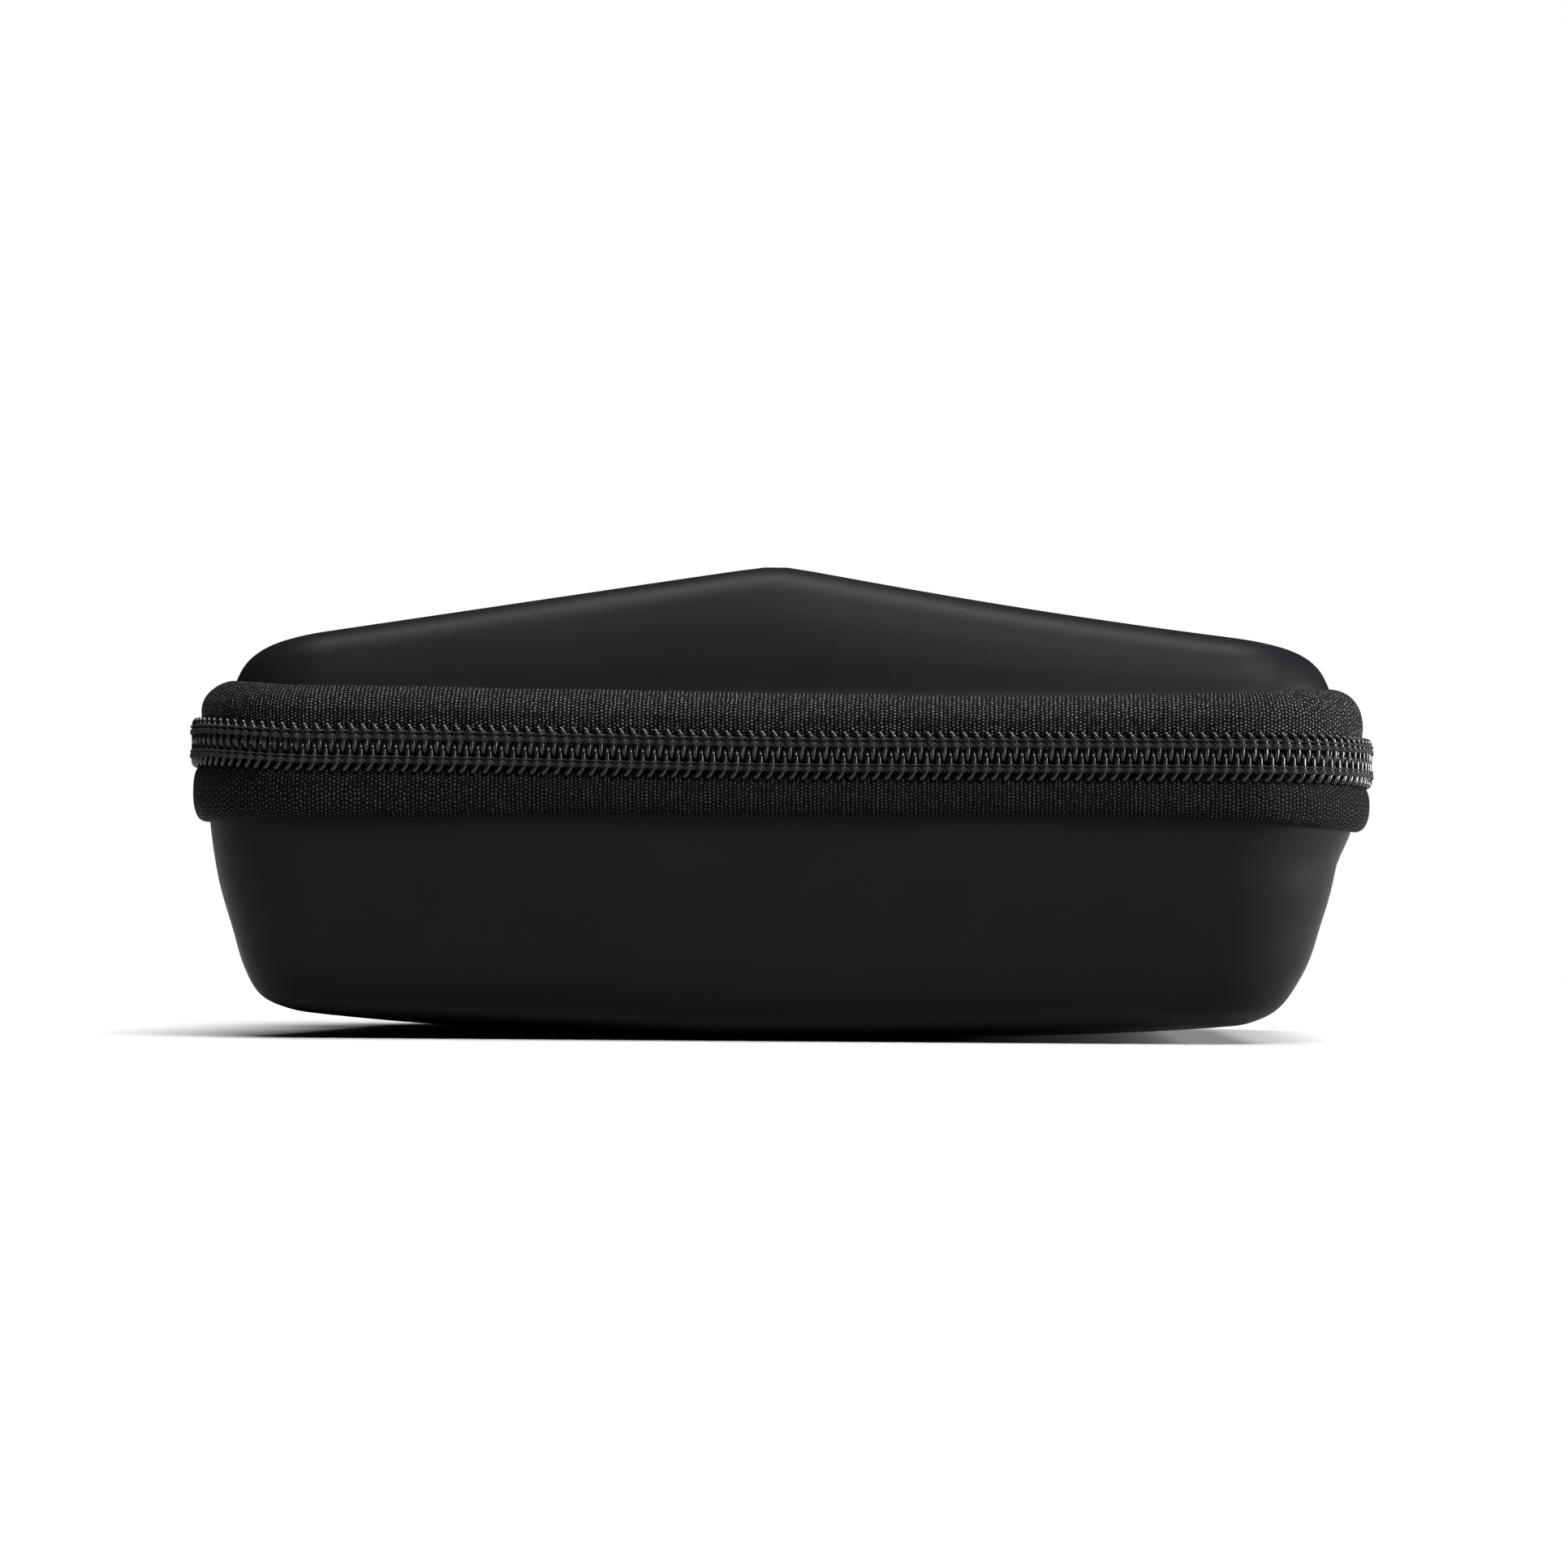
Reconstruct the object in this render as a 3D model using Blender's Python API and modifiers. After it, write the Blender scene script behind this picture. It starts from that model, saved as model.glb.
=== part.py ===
"""A headphone carrying case: a moulded tub and lid, a fabric hinge, and a coil zip with its slider."""

import math

import bmesh
import bpy
from mathutils import Matrix, Vector

MM = 0.001
GAP = 0.3 * MM  # left between neighbouring pieces

# Plan of the zip line: X runs left to right, and the front of the case faces -Y.
HALF_WIDTH = 103 * MM
HALF_DEPTH = 102 * MM
FRONT_RADIUS = 25 * MM
REAR_RADIUS = 45 * MM
LEAST_RADIUS = 4 * MM
CORNER_STEPS = 5
REAR_STEPS = 2
SIDE_STEPS = 4
FRONT_STEPS = 8

# Heights above the surface that the case stands on.
ZIP_Z = 48.4 * MM
LID_WALL_Z = 59 * MM
RIDGE_Z = 83 * MM
RIDGE_ROUNDING = 4 * MM
ROOF_SLOPE = 0.146
ROOF_FALL_TO_REAR = 6 * MM

# The underside is flat in the middle and curves up towards both sides.
FLAT_HALF_WIDTH = 36 * MM
UNDERSIDE_SLOPE = 0.087

SHELL_WALL = 3 * MM
LINING_WALL = 0.8 * MM

# Rings of the tub, rim first, in millimetres: inset from the zip line, height, and share of the underside's curve.
TUB_RINGS = (
    (3.4, 43.0, 0),
    (3.4, 37.5, 0),
    (5.0, 27.5, 0),
    (7.5, 19.0, 0),
    (10.0, 11.3, 0.3),
    (14.4, 4.8, 0.7),
    (21.0, 0.9, 1),
    (40.0, 0.3, 1),
    (62.0, 0.0, 1),
)
# Upright rings of the lid at its rim, in millimetres: inset and height.
LID_RIM_RINGS = ((4.9, 54.5), (5.2, 56.5), (6.6, 59.0))
# Rings of the lid above its wall: inset in millimetres, and share of the way from the wall up to the roof.
LID_ROOF_RINGS = ((7.6, 0.36), (9.3, 0.66), (11.8, 0.85), (15.8, 0.96), (22, 1), (45, 1), (70, 1), (96, 1))

# Sections of the swept strips, in millimetres: inset from the zip line, and height.
BASE_TAPE = (
    (3.1, 47.5),
    (2.5, 47.5),
    (2.5, 44.7),
    (1.1, 44.4),
    (0.4, 43.0),
    (0.4, 40.4),
    (1.2, 38.8),
    (3.1, 38.4),
)
LID_TAPE = (
    (3.1, 49.3),
    (3.1, 52.5),
    (4.6, 52.9),
    (4.6, 56.8),
    (5.7, 58.8),
    (4.0, 58.7),
    (2.4, 57.4),
    (1.7, 55.6),
    (1.8, 53.4),
    (2.5, 52.3),
    (2.5, 49.3),
)
BASE_COIL = ((2.2, 47.5), (0.6, 47.5), (0.0, 46.9), (0.0, 45.6), (0.6, 45.0), (2.2, 45.0))
LID_COIL = ((2.2, 49.3), (2.2, 51.8), (0.6, 51.8), (0.0, 51.2), (0.0, 49.9), (0.6, 49.3))
BASE_BINDING = ((3.7, 43.3), (3.7, 44.2), (8.6, 44.2), (8.6, 37.0), (7.8, 37.0), (7.8, 43.3))
LID_BINDING = ((5.0, 53.7), (9.8, 53.7), (9.8, 56.2), (10.5, 56.2), (10.5, 52.8), (5.0, 52.8))
POCKET_TAPE = ((11.2, 57.0), (11.2, 57.7), (15.2, 57.7), (15.2, 57.0))
HINGE_PANEL = (
    (2.1, 34.0),
    (0.8, 42.0),
    (0.2, 48.4),
    (0.9, 54.5),
    (4.2, 61.0),
    (5.1, 60.4),
    (1.8, 54.2),
    (1.1, 48.4),
    (1.7, 42.0),
    (3.0, 34.0),
)

# The zip stops at each side of the hinge panel, on the rear face.
ZIP_END_X = 48 * MM
HINGE_HALF_WIDTH = 46.5 * MM
HINGE_AXIS = Vector((0, HALF_DEPTH, ZIP_Z))

# The slider is parked at the rear of the left-hand side. It is built on the right and mirrored.
SLIDER_Y = 40 * MM
SLIDER_LENGTH = 15 * MM
SLIDER_HEIGHT = 9.4 * MM
SLIDER_NARROWING = 0.74
PLATE_THICKNESS = 1.2 * MM
OUTER_PLATE_X = HALF_WIDTH + 1.1 * MM
INNER_PLATE_X = HALF_WIDTH - 4.1 * MM
INNER_PLATE_HEIGHT = 7 * MM
INNER_PLATE_THICKNESS = 1 * MM
POST_THICKNESS = 1 * MM
POST_LENGTH = 4 * MM
POST_SETBACK = 4.6 * MM
BRIDGE_WIRE_RADIUS = 0.65 * MM
BRIDGE_HALF_SPAN = 4.8 * MM
BRIDGE_HALF_TOP = 3.2 * MM
BRIDGE_RISE = 3.2 * MM
RING_RADIUS = 3 * MM
RING_WIRE_RADIUS = 0.6 * MM
TAB_WIDTH = 7 * MM
TAB_LENGTH = 24 * MM
TAB_THICKNESS = 1.4 * MM
TAB_HOLE_RADIUS = 1.3 * MM
TAB_RIM = 1.4 * MM  # metal left above the tab's hole

# Foam block between the two ear cups, on a pair of hook and loop patches.
LINED_FLOOR_Z = SHELL_WALL + GAP + LINING_WALL
PATCH_SIZE = Vector((24, 70, 0.8)) * MM
DIVIDER_SIZE = Vector((32, 84, 20)) * MM

# Mesh pocket across the front part of the lid.
POCKET_Y = 5 * MM
POCKET_Z = 58 * MM
POCKET_INSET = 11.4 * MM
NET_THICKNESS = 0.6 * MM
ELASTIC_SIZE_Y = 5 * MM
ELASTIC_THICKNESS = 1.6 * MM

BLACK_SKIN = (0.016, 0.015, 0.018)
BLACK_FABRIC = (0.02, 0.02, 0.022)
GREY_LINING = (0.045, 0.045, 0.05)
DARK_METAL = (0.12, 0.12, 0.125)


def clear_scene():
    for obj in list(bpy.data.objects):
        bpy.data.objects.remove(obj, do_unlink=True)


def add_collection(name):
    collection = bpy.data.collections.new(name)
    bpy.context.scene.collection.children.link(collection)
    return collection


def make_material(name, colour, roughness, metallic=0.0):
    material = bpy.data.materials.new(name)
    material.use_nodes = True
    shader = material.node_tree.nodes["Principled BSDF"]
    shader.inputs["Base Color"].default_value = (*colour, 1)
    shader.inputs["Roughness"].default_value = roughness
    shader.inputs["Metallic"].default_value = metallic
    material.diffuse_color = (*colour, 1)
    return material


def add_object(name, bm, collection, colour, roughness, metallic=0.0):
    """Make an object of a finished bmesh, smooth but for its sharp edges, with its own material."""
    bmesh.ops.recalc_face_normals(bm, faces=bm.faces)
    mesh = bpy.data.meshes.new(name)
    bm.to_mesh(mesh)
    bm.free()
    mesh.shade_smooth()
    mesh.set_sharp_from_angle(angle=math.radians(40))
    mesh.materials.append(make_material(name, colour, roughness, metallic))
    obj = bpy.data.objects.new(name, mesh)
    collection.objects.link(obj)
    return obj


def add_solidify(obj, thickness):
    """Give an open surface a wall that grows inwards from it."""
    modifier = obj.modifiers.new("wall", "SOLIDIFY")
    modifier.thickness = thickness
    modifier.offset = -1
    modifier.use_even_offset = True


def add_bevel(obj, width, segments=2):
    modifier = obj.modifiers.new("edges", "BEVEL")
    modifier.width = width
    modifier.segments = segments
    modifier.limit_method = "ANGLE"


def add_boolean(obj, other, operation):
    modifier = obj.modifiers.new(other.name, "BOOLEAN")
    modifier.operation = operation
    modifier.object = other
    modifier.solver = "EXACT"


def straight(start, end, steps):
    """Points from start towards end, leaving out the end itself."""
    return [Vector(start).lerp(Vector(end), step / steps) for step in range(steps)]


def corner(centre, radius, start_angle):
    """Points of a quarter turn clockwise from the start angle, leaving out its end."""
    angles = [start_angle - math.pi / 2 * step / CORNER_STEPS for step in range(CORNER_STEPS)]
    return [Vector(centre) + radius * Vector((math.cos(a), math.sin(a))) for a in angles]


def outline(inset):
    """Plan of the case this far inside the zip line: clockwise from above, from the middle of the rear."""
    x = HALF_WIDTH - inset
    y = HALF_DEPTH - inset
    front = max(FRONT_RADIUS - inset, LEAST_RADIUS)
    rear = max(REAR_RADIUS - inset, LEAST_RADIUS)
    points = straight((0, y), (x - rear, y), REAR_STEPS)
    points += corner((x - rear, y - rear), rear, math.pi / 2)
    points += straight((x, y - rear), (x, front - y), SIDE_STEPS)
    points += corner((x - front, front - y), front, 0)
    points += straight((x - front, -y), (front - x, -y), FRONT_STEPS)
    points += corner((front - x, front - y), front, -math.pi / 2)
    points += straight((-x, front - y), (-x, y - rear), SIDE_STEPS)
    points += corner((rear - x, y - rear), rear, math.pi)
    points += straight((rear - x, y), (0, y), REAR_STEPS)
    return points


def zip_path(inset):
    """The part of the outline that the zip follows, from one end of the hinge panel round to the other."""
    points = outline(inset)[REAR_STEPS : 1 - REAR_STEPS]
    y = HALF_DEPTH - inset
    return [Vector((ZIP_END_X, y)), *points, Vector((-ZIP_END_X, y))]


def pocket_path(inset):
    """The part of the outline in front of the pocket's hem."""
    ends = [Vector((side * (HALF_WIDTH - inset), POCKET_Y)) for side in (1, -1)]
    return [ends[0], *(point for point in outline(inset) if point.y < POCKET_Y - LEAST_RADIUS), ends[1]]


def hinge_path(inset):
    y = HALF_DEPTH - inset
    return [Vector((x, y)) for x in (HINGE_HALF_WIDTH, 0, -HINGE_HALF_WIDTH)]


def underside(x):
    """How far the underside has curved up at this distance from the middle."""
    return UNDERSIDE_SLOPE * max(0, abs(x) - FLAT_HALF_WIDTH)


def roof(x, y):
    """Height of the lid's top: a rounded ridge from front to rear, with a slope down to each side."""
    away = math.hypot(x, RIDGE_ROUNDING) - RIDGE_ROUNDING
    return RIDGE_Z - ROOF_SLOPE * away - ROOF_FALL_TO_REAR * (y + HALF_DEPTH) / (2 * HALF_DEPTH)


def tub_rings():
    rings = []
    for inset, height, share in TUB_RINGS:
        points = outline(inset * MM)
        rings.append([Vector((p.x, p.y, height * MM + share * underside(p.x))) for p in points])
    return rings


def lid_rings():
    rings = [[Vector((*p, z * MM)) for p in outline(inset * MM)] for inset, z in LID_RIM_RINGS]
    for inset, share in LID_ROOF_RINGS:
        points = outline(inset * MM)
        rings.append([Vector((*p, LID_WALL_Z + share * (roof(*p) - LID_WALL_Z))) for p in points])
    return rings


def bridge(bm, near, far, around):
    """Join two rows of vertices with quads, and close the rows on themselves if they run all round."""
    count = len(near)
    for i in range(count if around else count - 1):
        j = (i + 1) % count
        bm.faces.new((near[i], near[j], far[j], far[i]))


def loft_shell(rings):
    """Surface from the first ring to a cap on the last one."""
    bm = bmesh.new()
    rows = [[bm.verts.new(point) for point in ring] for ring in rings]
    for near, far in zip(rows, rows[1:]):
        bridge(bm, near, far, around=True)
    bm.faces.new(rows[-1])
    bmesh.ops.recalc_face_normals(bm, faces=bm.faces)
    return bm


def sweep(section, path, around):
    """Solid strip: each corner of the section follows the path at its own inset and height."""
    bm = bmesh.new()
    rows = []
    for inset, height in section:
        rows.append([bm.verts.new((p.x, p.y, height * MM)) for p in path(inset * MM)])
    for near, far in zip(rows, rows[1:] + rows[:1]):
        bridge(bm, near, far, around)
    if not around:
        bm.faces.new([row[0] for row in rows])
        bm.faces.new([row[-1] for row in rows])
    return bm


def move_inwards(bm, distance):
    """Shift a surface along its normals, so that it lies parallel to where it was."""
    bm.normal_update()
    shifts = [(vertex, vertex.normal * distance * vertex.calc_shell_factor()) for vertex in bm.verts]
    for vertex, shift in shifts:
        vertex.co -= shift


def block(size, centre):
    bm = bmesh.new()
    bmesh.ops.create_cube(bm, size=1)
    bmesh.ops.scale(bm, vec=size, verts=bm.verts)
    bmesh.ops.translate(bm, vec=centre, verts=bm.verts)
    return bm


def add_half(name, rings, parts):
    """Make one moulded half and the lining inside it."""
    shell = add_object(f"{name}_shell", loft_shell(rings), parts, BLACK_SKIN, 0.6)
    add_solidify(shell, SHELL_WALL)
    surface = loft_shell(rings)
    move_inwards(surface, SHELL_WALL + GAP)
    lining = add_object(f"{name}_lining", surface, parts, GREY_LINING, 0.9)
    add_solidify(lining, LINING_WALL)
    return [shell, lining]


def add_zip_half(name, tape, coil, binding, parts):
    """Make one side of the zip, and the binding sewn round the rim behind it."""
    return [
        add_object(f"{name}_zip_tape", sweep(tape, zip_path, around=False), parts, BLACK_FABRIC, 0.85),
        add_object(f"{name}_zip_coil", sweep(coil, zip_path, around=False), parts, BLACK_FABRIC, 0.4),
        add_object(f"{name}_seam_binding", sweep(binding, outline, around=True), parts, BLACK_FABRIC, 0.85),
    ]


def add_divider(parts):
    """Make the foam block for the middle of the tub, and the two patches that hold it down."""
    heights = [LINED_FLOOR_Z + GAP + i * (PATCH_SIZE.z + GAP) for i in range(3)]
    for name, z in zip(("divider_loop_patch", "divider_hook_patch"), heights):
        centre = (0, 0, z + PATCH_SIZE.z / 2)
        add_object(name, block(PATCH_SIZE, centre), parts, BLACK_FABRIC, 0.95)
    centre = (0, 0, heights[2] + DIVIDER_SIZE.z / 2)
    divider = add_object("foam_divider", block(DIVIDER_SIZE, centre), parts, GREY_LINING, 0.9)
    add_bevel(divider, 6 * MM, segments=3)


def add_pocket(parts):
    """Make the net pocket in the lid: its net, the tape round its edge, and the elastic in its hem."""
    net = bmesh.new()
    corners = [net.verts.new((*point, POCKET_Z)) for point in pocket_path(POCKET_INSET)]
    top = net.faces.new(corners)
    lifted = bmesh.ops.extrude_face_region(net, geom=[top])["geom"]
    rising = [item for item in lifted if isinstance(item, bmesh.types.BMVert)]
    bmesh.ops.translate(net, vec=(0, 0, NET_THICKNESS), verts=rising)
    elastic_length = 2 * (HALF_WIDTH - POCKET_INSET) - 2 * GAP
    elastic = block(
        (elastic_length, ELASTIC_SIZE_Y, ELASTIC_THICKNESS),
        (0, POCKET_Y + GAP + ELASTIC_SIZE_Y / 2, POCKET_Z + NET_THICKNESS / 2),
    )
    hem = add_object("pocket_elastic", elastic, parts, BLACK_FABRIC, 0.8)
    add_bevel(hem, ELASTIC_THICKNESS / 4)
    tape = sweep(POCKET_TAPE, pocket_path, around=False)
    return [
        add_object("mesh_pocket", net, parts, BLACK_FABRIC, 0.8),
        add_object("pocket_seam_tape", tape, parts, BLACK_FABRIC, 0.85),
        hem,
    ]


def taper_towards_front(bm, share):
    """Narrow the -Y end, where the closed chain leaves the slider."""
    middle = sum((vertex.co.y for vertex in bm.verts)) / len(bm.verts)
    for vertex in bm.verts:
        if vertex.co.y < middle:
            vertex.co.z = ZIP_Z + (vertex.co.z - ZIP_Z) * share


def add_slider(parts, cutters):
    """Make the slider: a plate on each side of the chain, joined by the post that parts the coils."""
    outer = block(
        (PLATE_THICKNESS, SLIDER_LENGTH, SLIDER_HEIGHT),
        (OUTER_PLATE_X, SLIDER_Y, ZIP_Z),
    )
    taper_towards_front(outer, SLIDER_NARROWING)
    body = add_object("slider_body", outer, parts, DARK_METAL, 0.35, metallic=1.0)
    inner = block(
        (INNER_PLATE_THICKNESS, SLIDER_LENGTH, INNER_PLATE_HEIGHT),
        (INNER_PLATE_X, SLIDER_Y, ZIP_Z),
    )
    reach = OUTER_PLATE_X - INNER_PLATE_X
    post = block(
        (reach, POST_LENGTH, POST_THICKNESS),
        ((OUTER_PLATE_X + INNER_PLATE_X) / 2, SLIDER_Y + POST_SETBACK, ZIP_Z),
    )
    for name, bm in (("slider_inner_plate", inner), ("slider_post", post)):
        helper = add_object(name, bm, cutters, DARK_METAL, 0.35)
        helper.hide_render = True
        helper.display_type = "WIRE"
        add_boolean(body, helper, "UNION")
    add_bevel(body, 0.25 * MM)
    return body


def wire(name, points, radius, closed, parts):
    """Make a round wire through the points, as a mesh."""
    curve = bpy.data.curves.new(name, "CURVE")
    curve.dimensions = "3D"
    curve.bevel_depth = radius
    curve.bevel_resolution = 2
    curve.use_fill_caps = True
    spline = curve.splines.new("POLY")
    spline.points.add(len(points) - 1)
    for place, point in zip(spline.points, points):
        place.co = (*point, 1)
    spline.use_cyclic_u = closed
    source = bpy.data.objects.new(name, curve)
    bm = bmesh.new()
    bm.from_mesh(bpy.data.meshes.new_from_object(source))
    bmesh.ops.remove_doubles(bm, verts=bm.verts, dist=0.001 * MM)
    bpy.data.objects.remove(source)
    return add_object(name, bm, parts, DARK_METAL, 0.3, metallic=1.0)


def bridge_top_x():
    """Where the middle of the bridge's bar stands, out from the case."""
    return OUTER_PLATE_X + PLATE_THICKNESS / 2 + GAP + BRIDGE_WIRE_RADIUS + BRIDGE_RISE


def add_bridge(parts):
    """Make the arch on the slider that the pull hangs from."""
    foot_x = bridge_top_x() - BRIDGE_RISE
    sides = (
        (foot_x, -BRIDGE_HALF_SPAN),
        (foot_x + 0.6 * BRIDGE_RISE, -BRIDGE_HALF_SPAN),
        (bridge_top_x(), -BRIDGE_HALF_TOP),
        (bridge_top_x(), BRIDGE_HALF_TOP),
        (foot_x + 0.6 * BRIDGE_RISE, BRIDGE_HALF_SPAN),
        (foot_x, BRIDGE_HALF_SPAN),
    )
    points = [(x, SLIDER_Y + y, ZIP_Z) for x, y in sides]
    return wire("slider_bridge", points, BRIDGE_WIRE_RADIUS, closed=False, parts=parts)


def ring_centre():
    """The ring hangs on the bridge's bar, so the bar touches the inside of its top."""
    drop = RING_RADIUS - RING_WIRE_RADIUS - BRIDGE_WIRE_RADIUS - GAP / 3
    return Vector((bridge_top_x(), SLIDER_Y, ZIP_Z - drop))


def add_ring(parts):
    centre = ring_centre()
    steps = 20
    angles = [2 * math.pi * step / steps for step in range(steps)]
    points = [centre + RING_RADIUS * Vector((math.cos(a), 0, math.sin(a))) for a in angles]
    return wire("pull_ring", points, RING_WIRE_RADIUS, closed=True, parts=parts)


def tab_hole_centre():
    """The tab hangs with the top of its hole just over the bottom of the ring."""
    lowest = ring_centre().z - RING_RADIUS
    rise = TAB_HOLE_RADIUS - RING_WIRE_RADIUS - GAP / 3
    return Vector((bridge_top_x(), SLIDER_Y, lowest - rise))


def add_tab(parts, cutters):
    """Make the pull tab, with the hole that the ring passes through."""
    hole = tab_hole_centre()
    top = hole.z + TAB_HOLE_RADIUS + TAB_RIM
    centre = (hole.x, hole.y, top - TAB_LENGTH / 2)
    tab = add_object(
        "pull_tab",
        block((TAB_THICKNESS, TAB_WIDTH, TAB_LENGTH), centre),
        parts,
        BLACK_SKIN,
        0.5,
    )
    bm = bmesh.new()
    bmesh.ops.create_cone(
        bm,
        cap_ends=True,
        segments=20,
        radius1=TAB_HOLE_RADIUS,
        radius2=TAB_HOLE_RADIUS,
        depth=3 * TAB_THICKNESS,
        matrix=Matrix.Translation(hole) @ Matrix.Rotation(math.pi / 2, 4, "Y"),
    )
    cutter = add_object("tab_hole", bm, cutters, BLACK_SKIN, 0.5)
    cutter.hide_render = True
    cutter.display_type = "WIRE"
    add_bevel(tab, 0.5 * MM)
    add_boolean(tab, cutter, "DIFFERENCE")
    return tab


def hang_on(axis_name, axis_point, objects, parent, parts):
    """Put the objects' origins on a joint's axis, under an empty that stands there."""
    axis = bpy.data.objects.new(axis_name, None)
    axis.empty_display_size = 10 * MM
    axis.location = axis_point - (parent.matrix_world.translation if parent else Vector())
    axis.parent = parent
    parts.objects.link(axis)
    bpy.context.view_layer.update()
    for obj in objects:
        obj.data.transform(Matrix.Translation(-axis_point))
        obj.parent = axis
    return axis


def mirror_across_middle(axis):
    """Move an axis, and all that hangs on it, to the other side of the case as its mirror image."""
    axis.location.x = -axis.location.x
    axis.scale.x = -1


def main():
    clear_scene()
    parts = add_collection("headphone_carrying_case")
    cutters = add_collection("cutters")
    add_half("base", tub_rings(), parts)
    add_zip_half("base", BASE_TAPE, BASE_COIL, BASE_BINDING, parts)
    add_object("hinge_panel", sweep(HINGE_PANEL, hinge_path, around=False), parts, BLACK_FABRIC, 0.9)
    add_divider(parts)
    lid = add_half("lid", lid_rings(), parts)
    lid += add_zip_half("lid", LID_TAPE, LID_COIL, LID_BINDING, parts)
    lid += add_pocket(parts)
    hang_on("lid_hinge_axis", HINGE_AXIS, lid, None, parts)
    slider = [add_slider(parts, cutters), add_bridge(parts)]
    slider_origin = Vector((HALF_WIDTH, SLIDER_Y, ZIP_Z))
    slide = hang_on("slider_slide_axis", slider_origin, slider, None, parts)
    bar = Vector((bridge_top_x(), SLIDER_Y, ZIP_Z))
    swing = hang_on("pull_ring_axis", bar, [add_ring(parts)], slide, parts)
    foot = Vector((bridge_top_x(), SLIDER_Y, ring_centre().z - RING_RADIUS))
    tab = add_tab(parts, cutters)
    tab_axis = hang_on("pull_tab_axis", foot, [tab], swing, parts)
    cutters.objects["tab_hole"].data.transform(Matrix.Translation(-foot))
    cutters.objects["tab_hole"].parent = tab_axis
    for name in ("slider_inner_plate", "slider_post"):
        cutters.objects[name].data.transform(Matrix.Translation(-slider_origin))
        cutters.objects[name].parent = slide
    mirror_across_middle(slide)


main()
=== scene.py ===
"""The looks of a headphone carrying case: matte moulded halves, a coil zip, and what is inside."""

import math

import bpy
import numpy as np
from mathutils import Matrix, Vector


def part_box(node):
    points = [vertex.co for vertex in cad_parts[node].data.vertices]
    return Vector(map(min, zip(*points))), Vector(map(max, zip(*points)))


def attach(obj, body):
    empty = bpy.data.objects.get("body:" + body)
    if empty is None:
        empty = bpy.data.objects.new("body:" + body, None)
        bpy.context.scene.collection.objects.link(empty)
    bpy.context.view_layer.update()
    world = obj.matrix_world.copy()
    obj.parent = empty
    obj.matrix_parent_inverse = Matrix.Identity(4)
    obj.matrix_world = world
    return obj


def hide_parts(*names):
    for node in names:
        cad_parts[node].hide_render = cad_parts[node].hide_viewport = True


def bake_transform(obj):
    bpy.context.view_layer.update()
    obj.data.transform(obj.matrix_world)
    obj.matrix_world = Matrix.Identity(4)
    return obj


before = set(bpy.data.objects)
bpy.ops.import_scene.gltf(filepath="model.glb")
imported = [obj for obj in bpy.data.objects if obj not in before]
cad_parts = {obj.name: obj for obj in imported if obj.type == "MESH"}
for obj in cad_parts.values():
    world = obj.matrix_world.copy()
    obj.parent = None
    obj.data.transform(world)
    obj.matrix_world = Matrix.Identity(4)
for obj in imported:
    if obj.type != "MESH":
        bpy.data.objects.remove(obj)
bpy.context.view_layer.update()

MM = 0.001

# ------ sizes from the frame

_, TUB_COIL_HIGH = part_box("base_zip_coil")
LID_COIL_LOW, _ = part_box("lid_zip_coil")
HALF_WIDTH = TUB_COIL_HIGH.x
HALF_DEPTH = TUB_COIL_HIGH.y
ZIP_Z = (TUB_COIL_HIGH.z + LID_COIL_LOW.z) / 2
FRONT_RADIUS = 25 * MM
REAR_RADIUS = 45 * MM
ZIP_END_X = 48 * MM
SHELL_WALL = 3 * MM
LINING_GAP = 0.3 * MM
LINING_WALL = 0.8 * MM

SLIDER_Y = (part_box("slider_body")[0].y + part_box("slider_body")[1].y) / 2

# The lid's roof, as in the CAD model, with the right-hand slope a little hollow.
RIDGE_Z = 83 * MM
RIDGE_ROUNDING = 2.5 * MM
LEFT_SLOPE = 0.152
RIGHT_SLOPE = 0.198
RIGHT_HOLLOW = 0.45  # per metre from the ridge
ROOF_FALL_TO_REAR = 6 * MM
LID_WALL_Z = 59 * MM
LID_RIM_HEIGHT = 12 * MM
FLAT_LEFT = 10 * MM  # the underside is flat this far left of the middle
LEFT_UNDERSIDE_SLOPE = 0.043
RIGHT_UNDERSIDE_SLOPE = 0.022
RIGHT_TUCK = 1.8 * MM  # the tub's right side stands this much further in below the zip
RIGHT_CORNER_TUCK = 1.8 * MM  # and its lower corner this much more

# Lid profile: inset in mm, share of the way from the wall to the roof.
LID_PROFILE = (
    (4.9, -0.38), (5.1, -0.22), (6.5, 0.0), (7.6, 0.34), (9.2, 0.65),
    (11.9, 0.86), (15.8, 0.965), (22.0, 1.0),
)
# Tub profile: inset and height in mm, and share of the underside's curve.
TUB_PROFILE = (
    (3.4, 43.0, 0), (3.4, 37.5, 0), (5.0, 27.5, 0), (7.5, 19.0, 0),
    (9.6, 11.2, 0.3), (12.6, 4.9, 0.7), (17.8, 1.7, 1), (24.2, 1.0, 1),
)

PITCH = 2 * MM  # from one turn of the coil to the next
STRAND_RADIUS = 0.45 * MM  # of the coil's filament
THREAD_RADIUS = 0.19 * MM
NET_CELL = 2.6 * MM  # from one hole of the net to the next


def smoothstep(low, high, x):
    """0 up to low, 1 from high on, and a smooth rise between them."""
    t = np.clip((np.asarray(x, float) - low) / (high - low), 0, 1)
    return t * t * (3 - 2 * t)


def bump(x, centre, width):
    """A rounded hump, 1 high at its centre."""
    return np.exp(-(((np.asarray(x, float) - centre) / width) ** 2))


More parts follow.
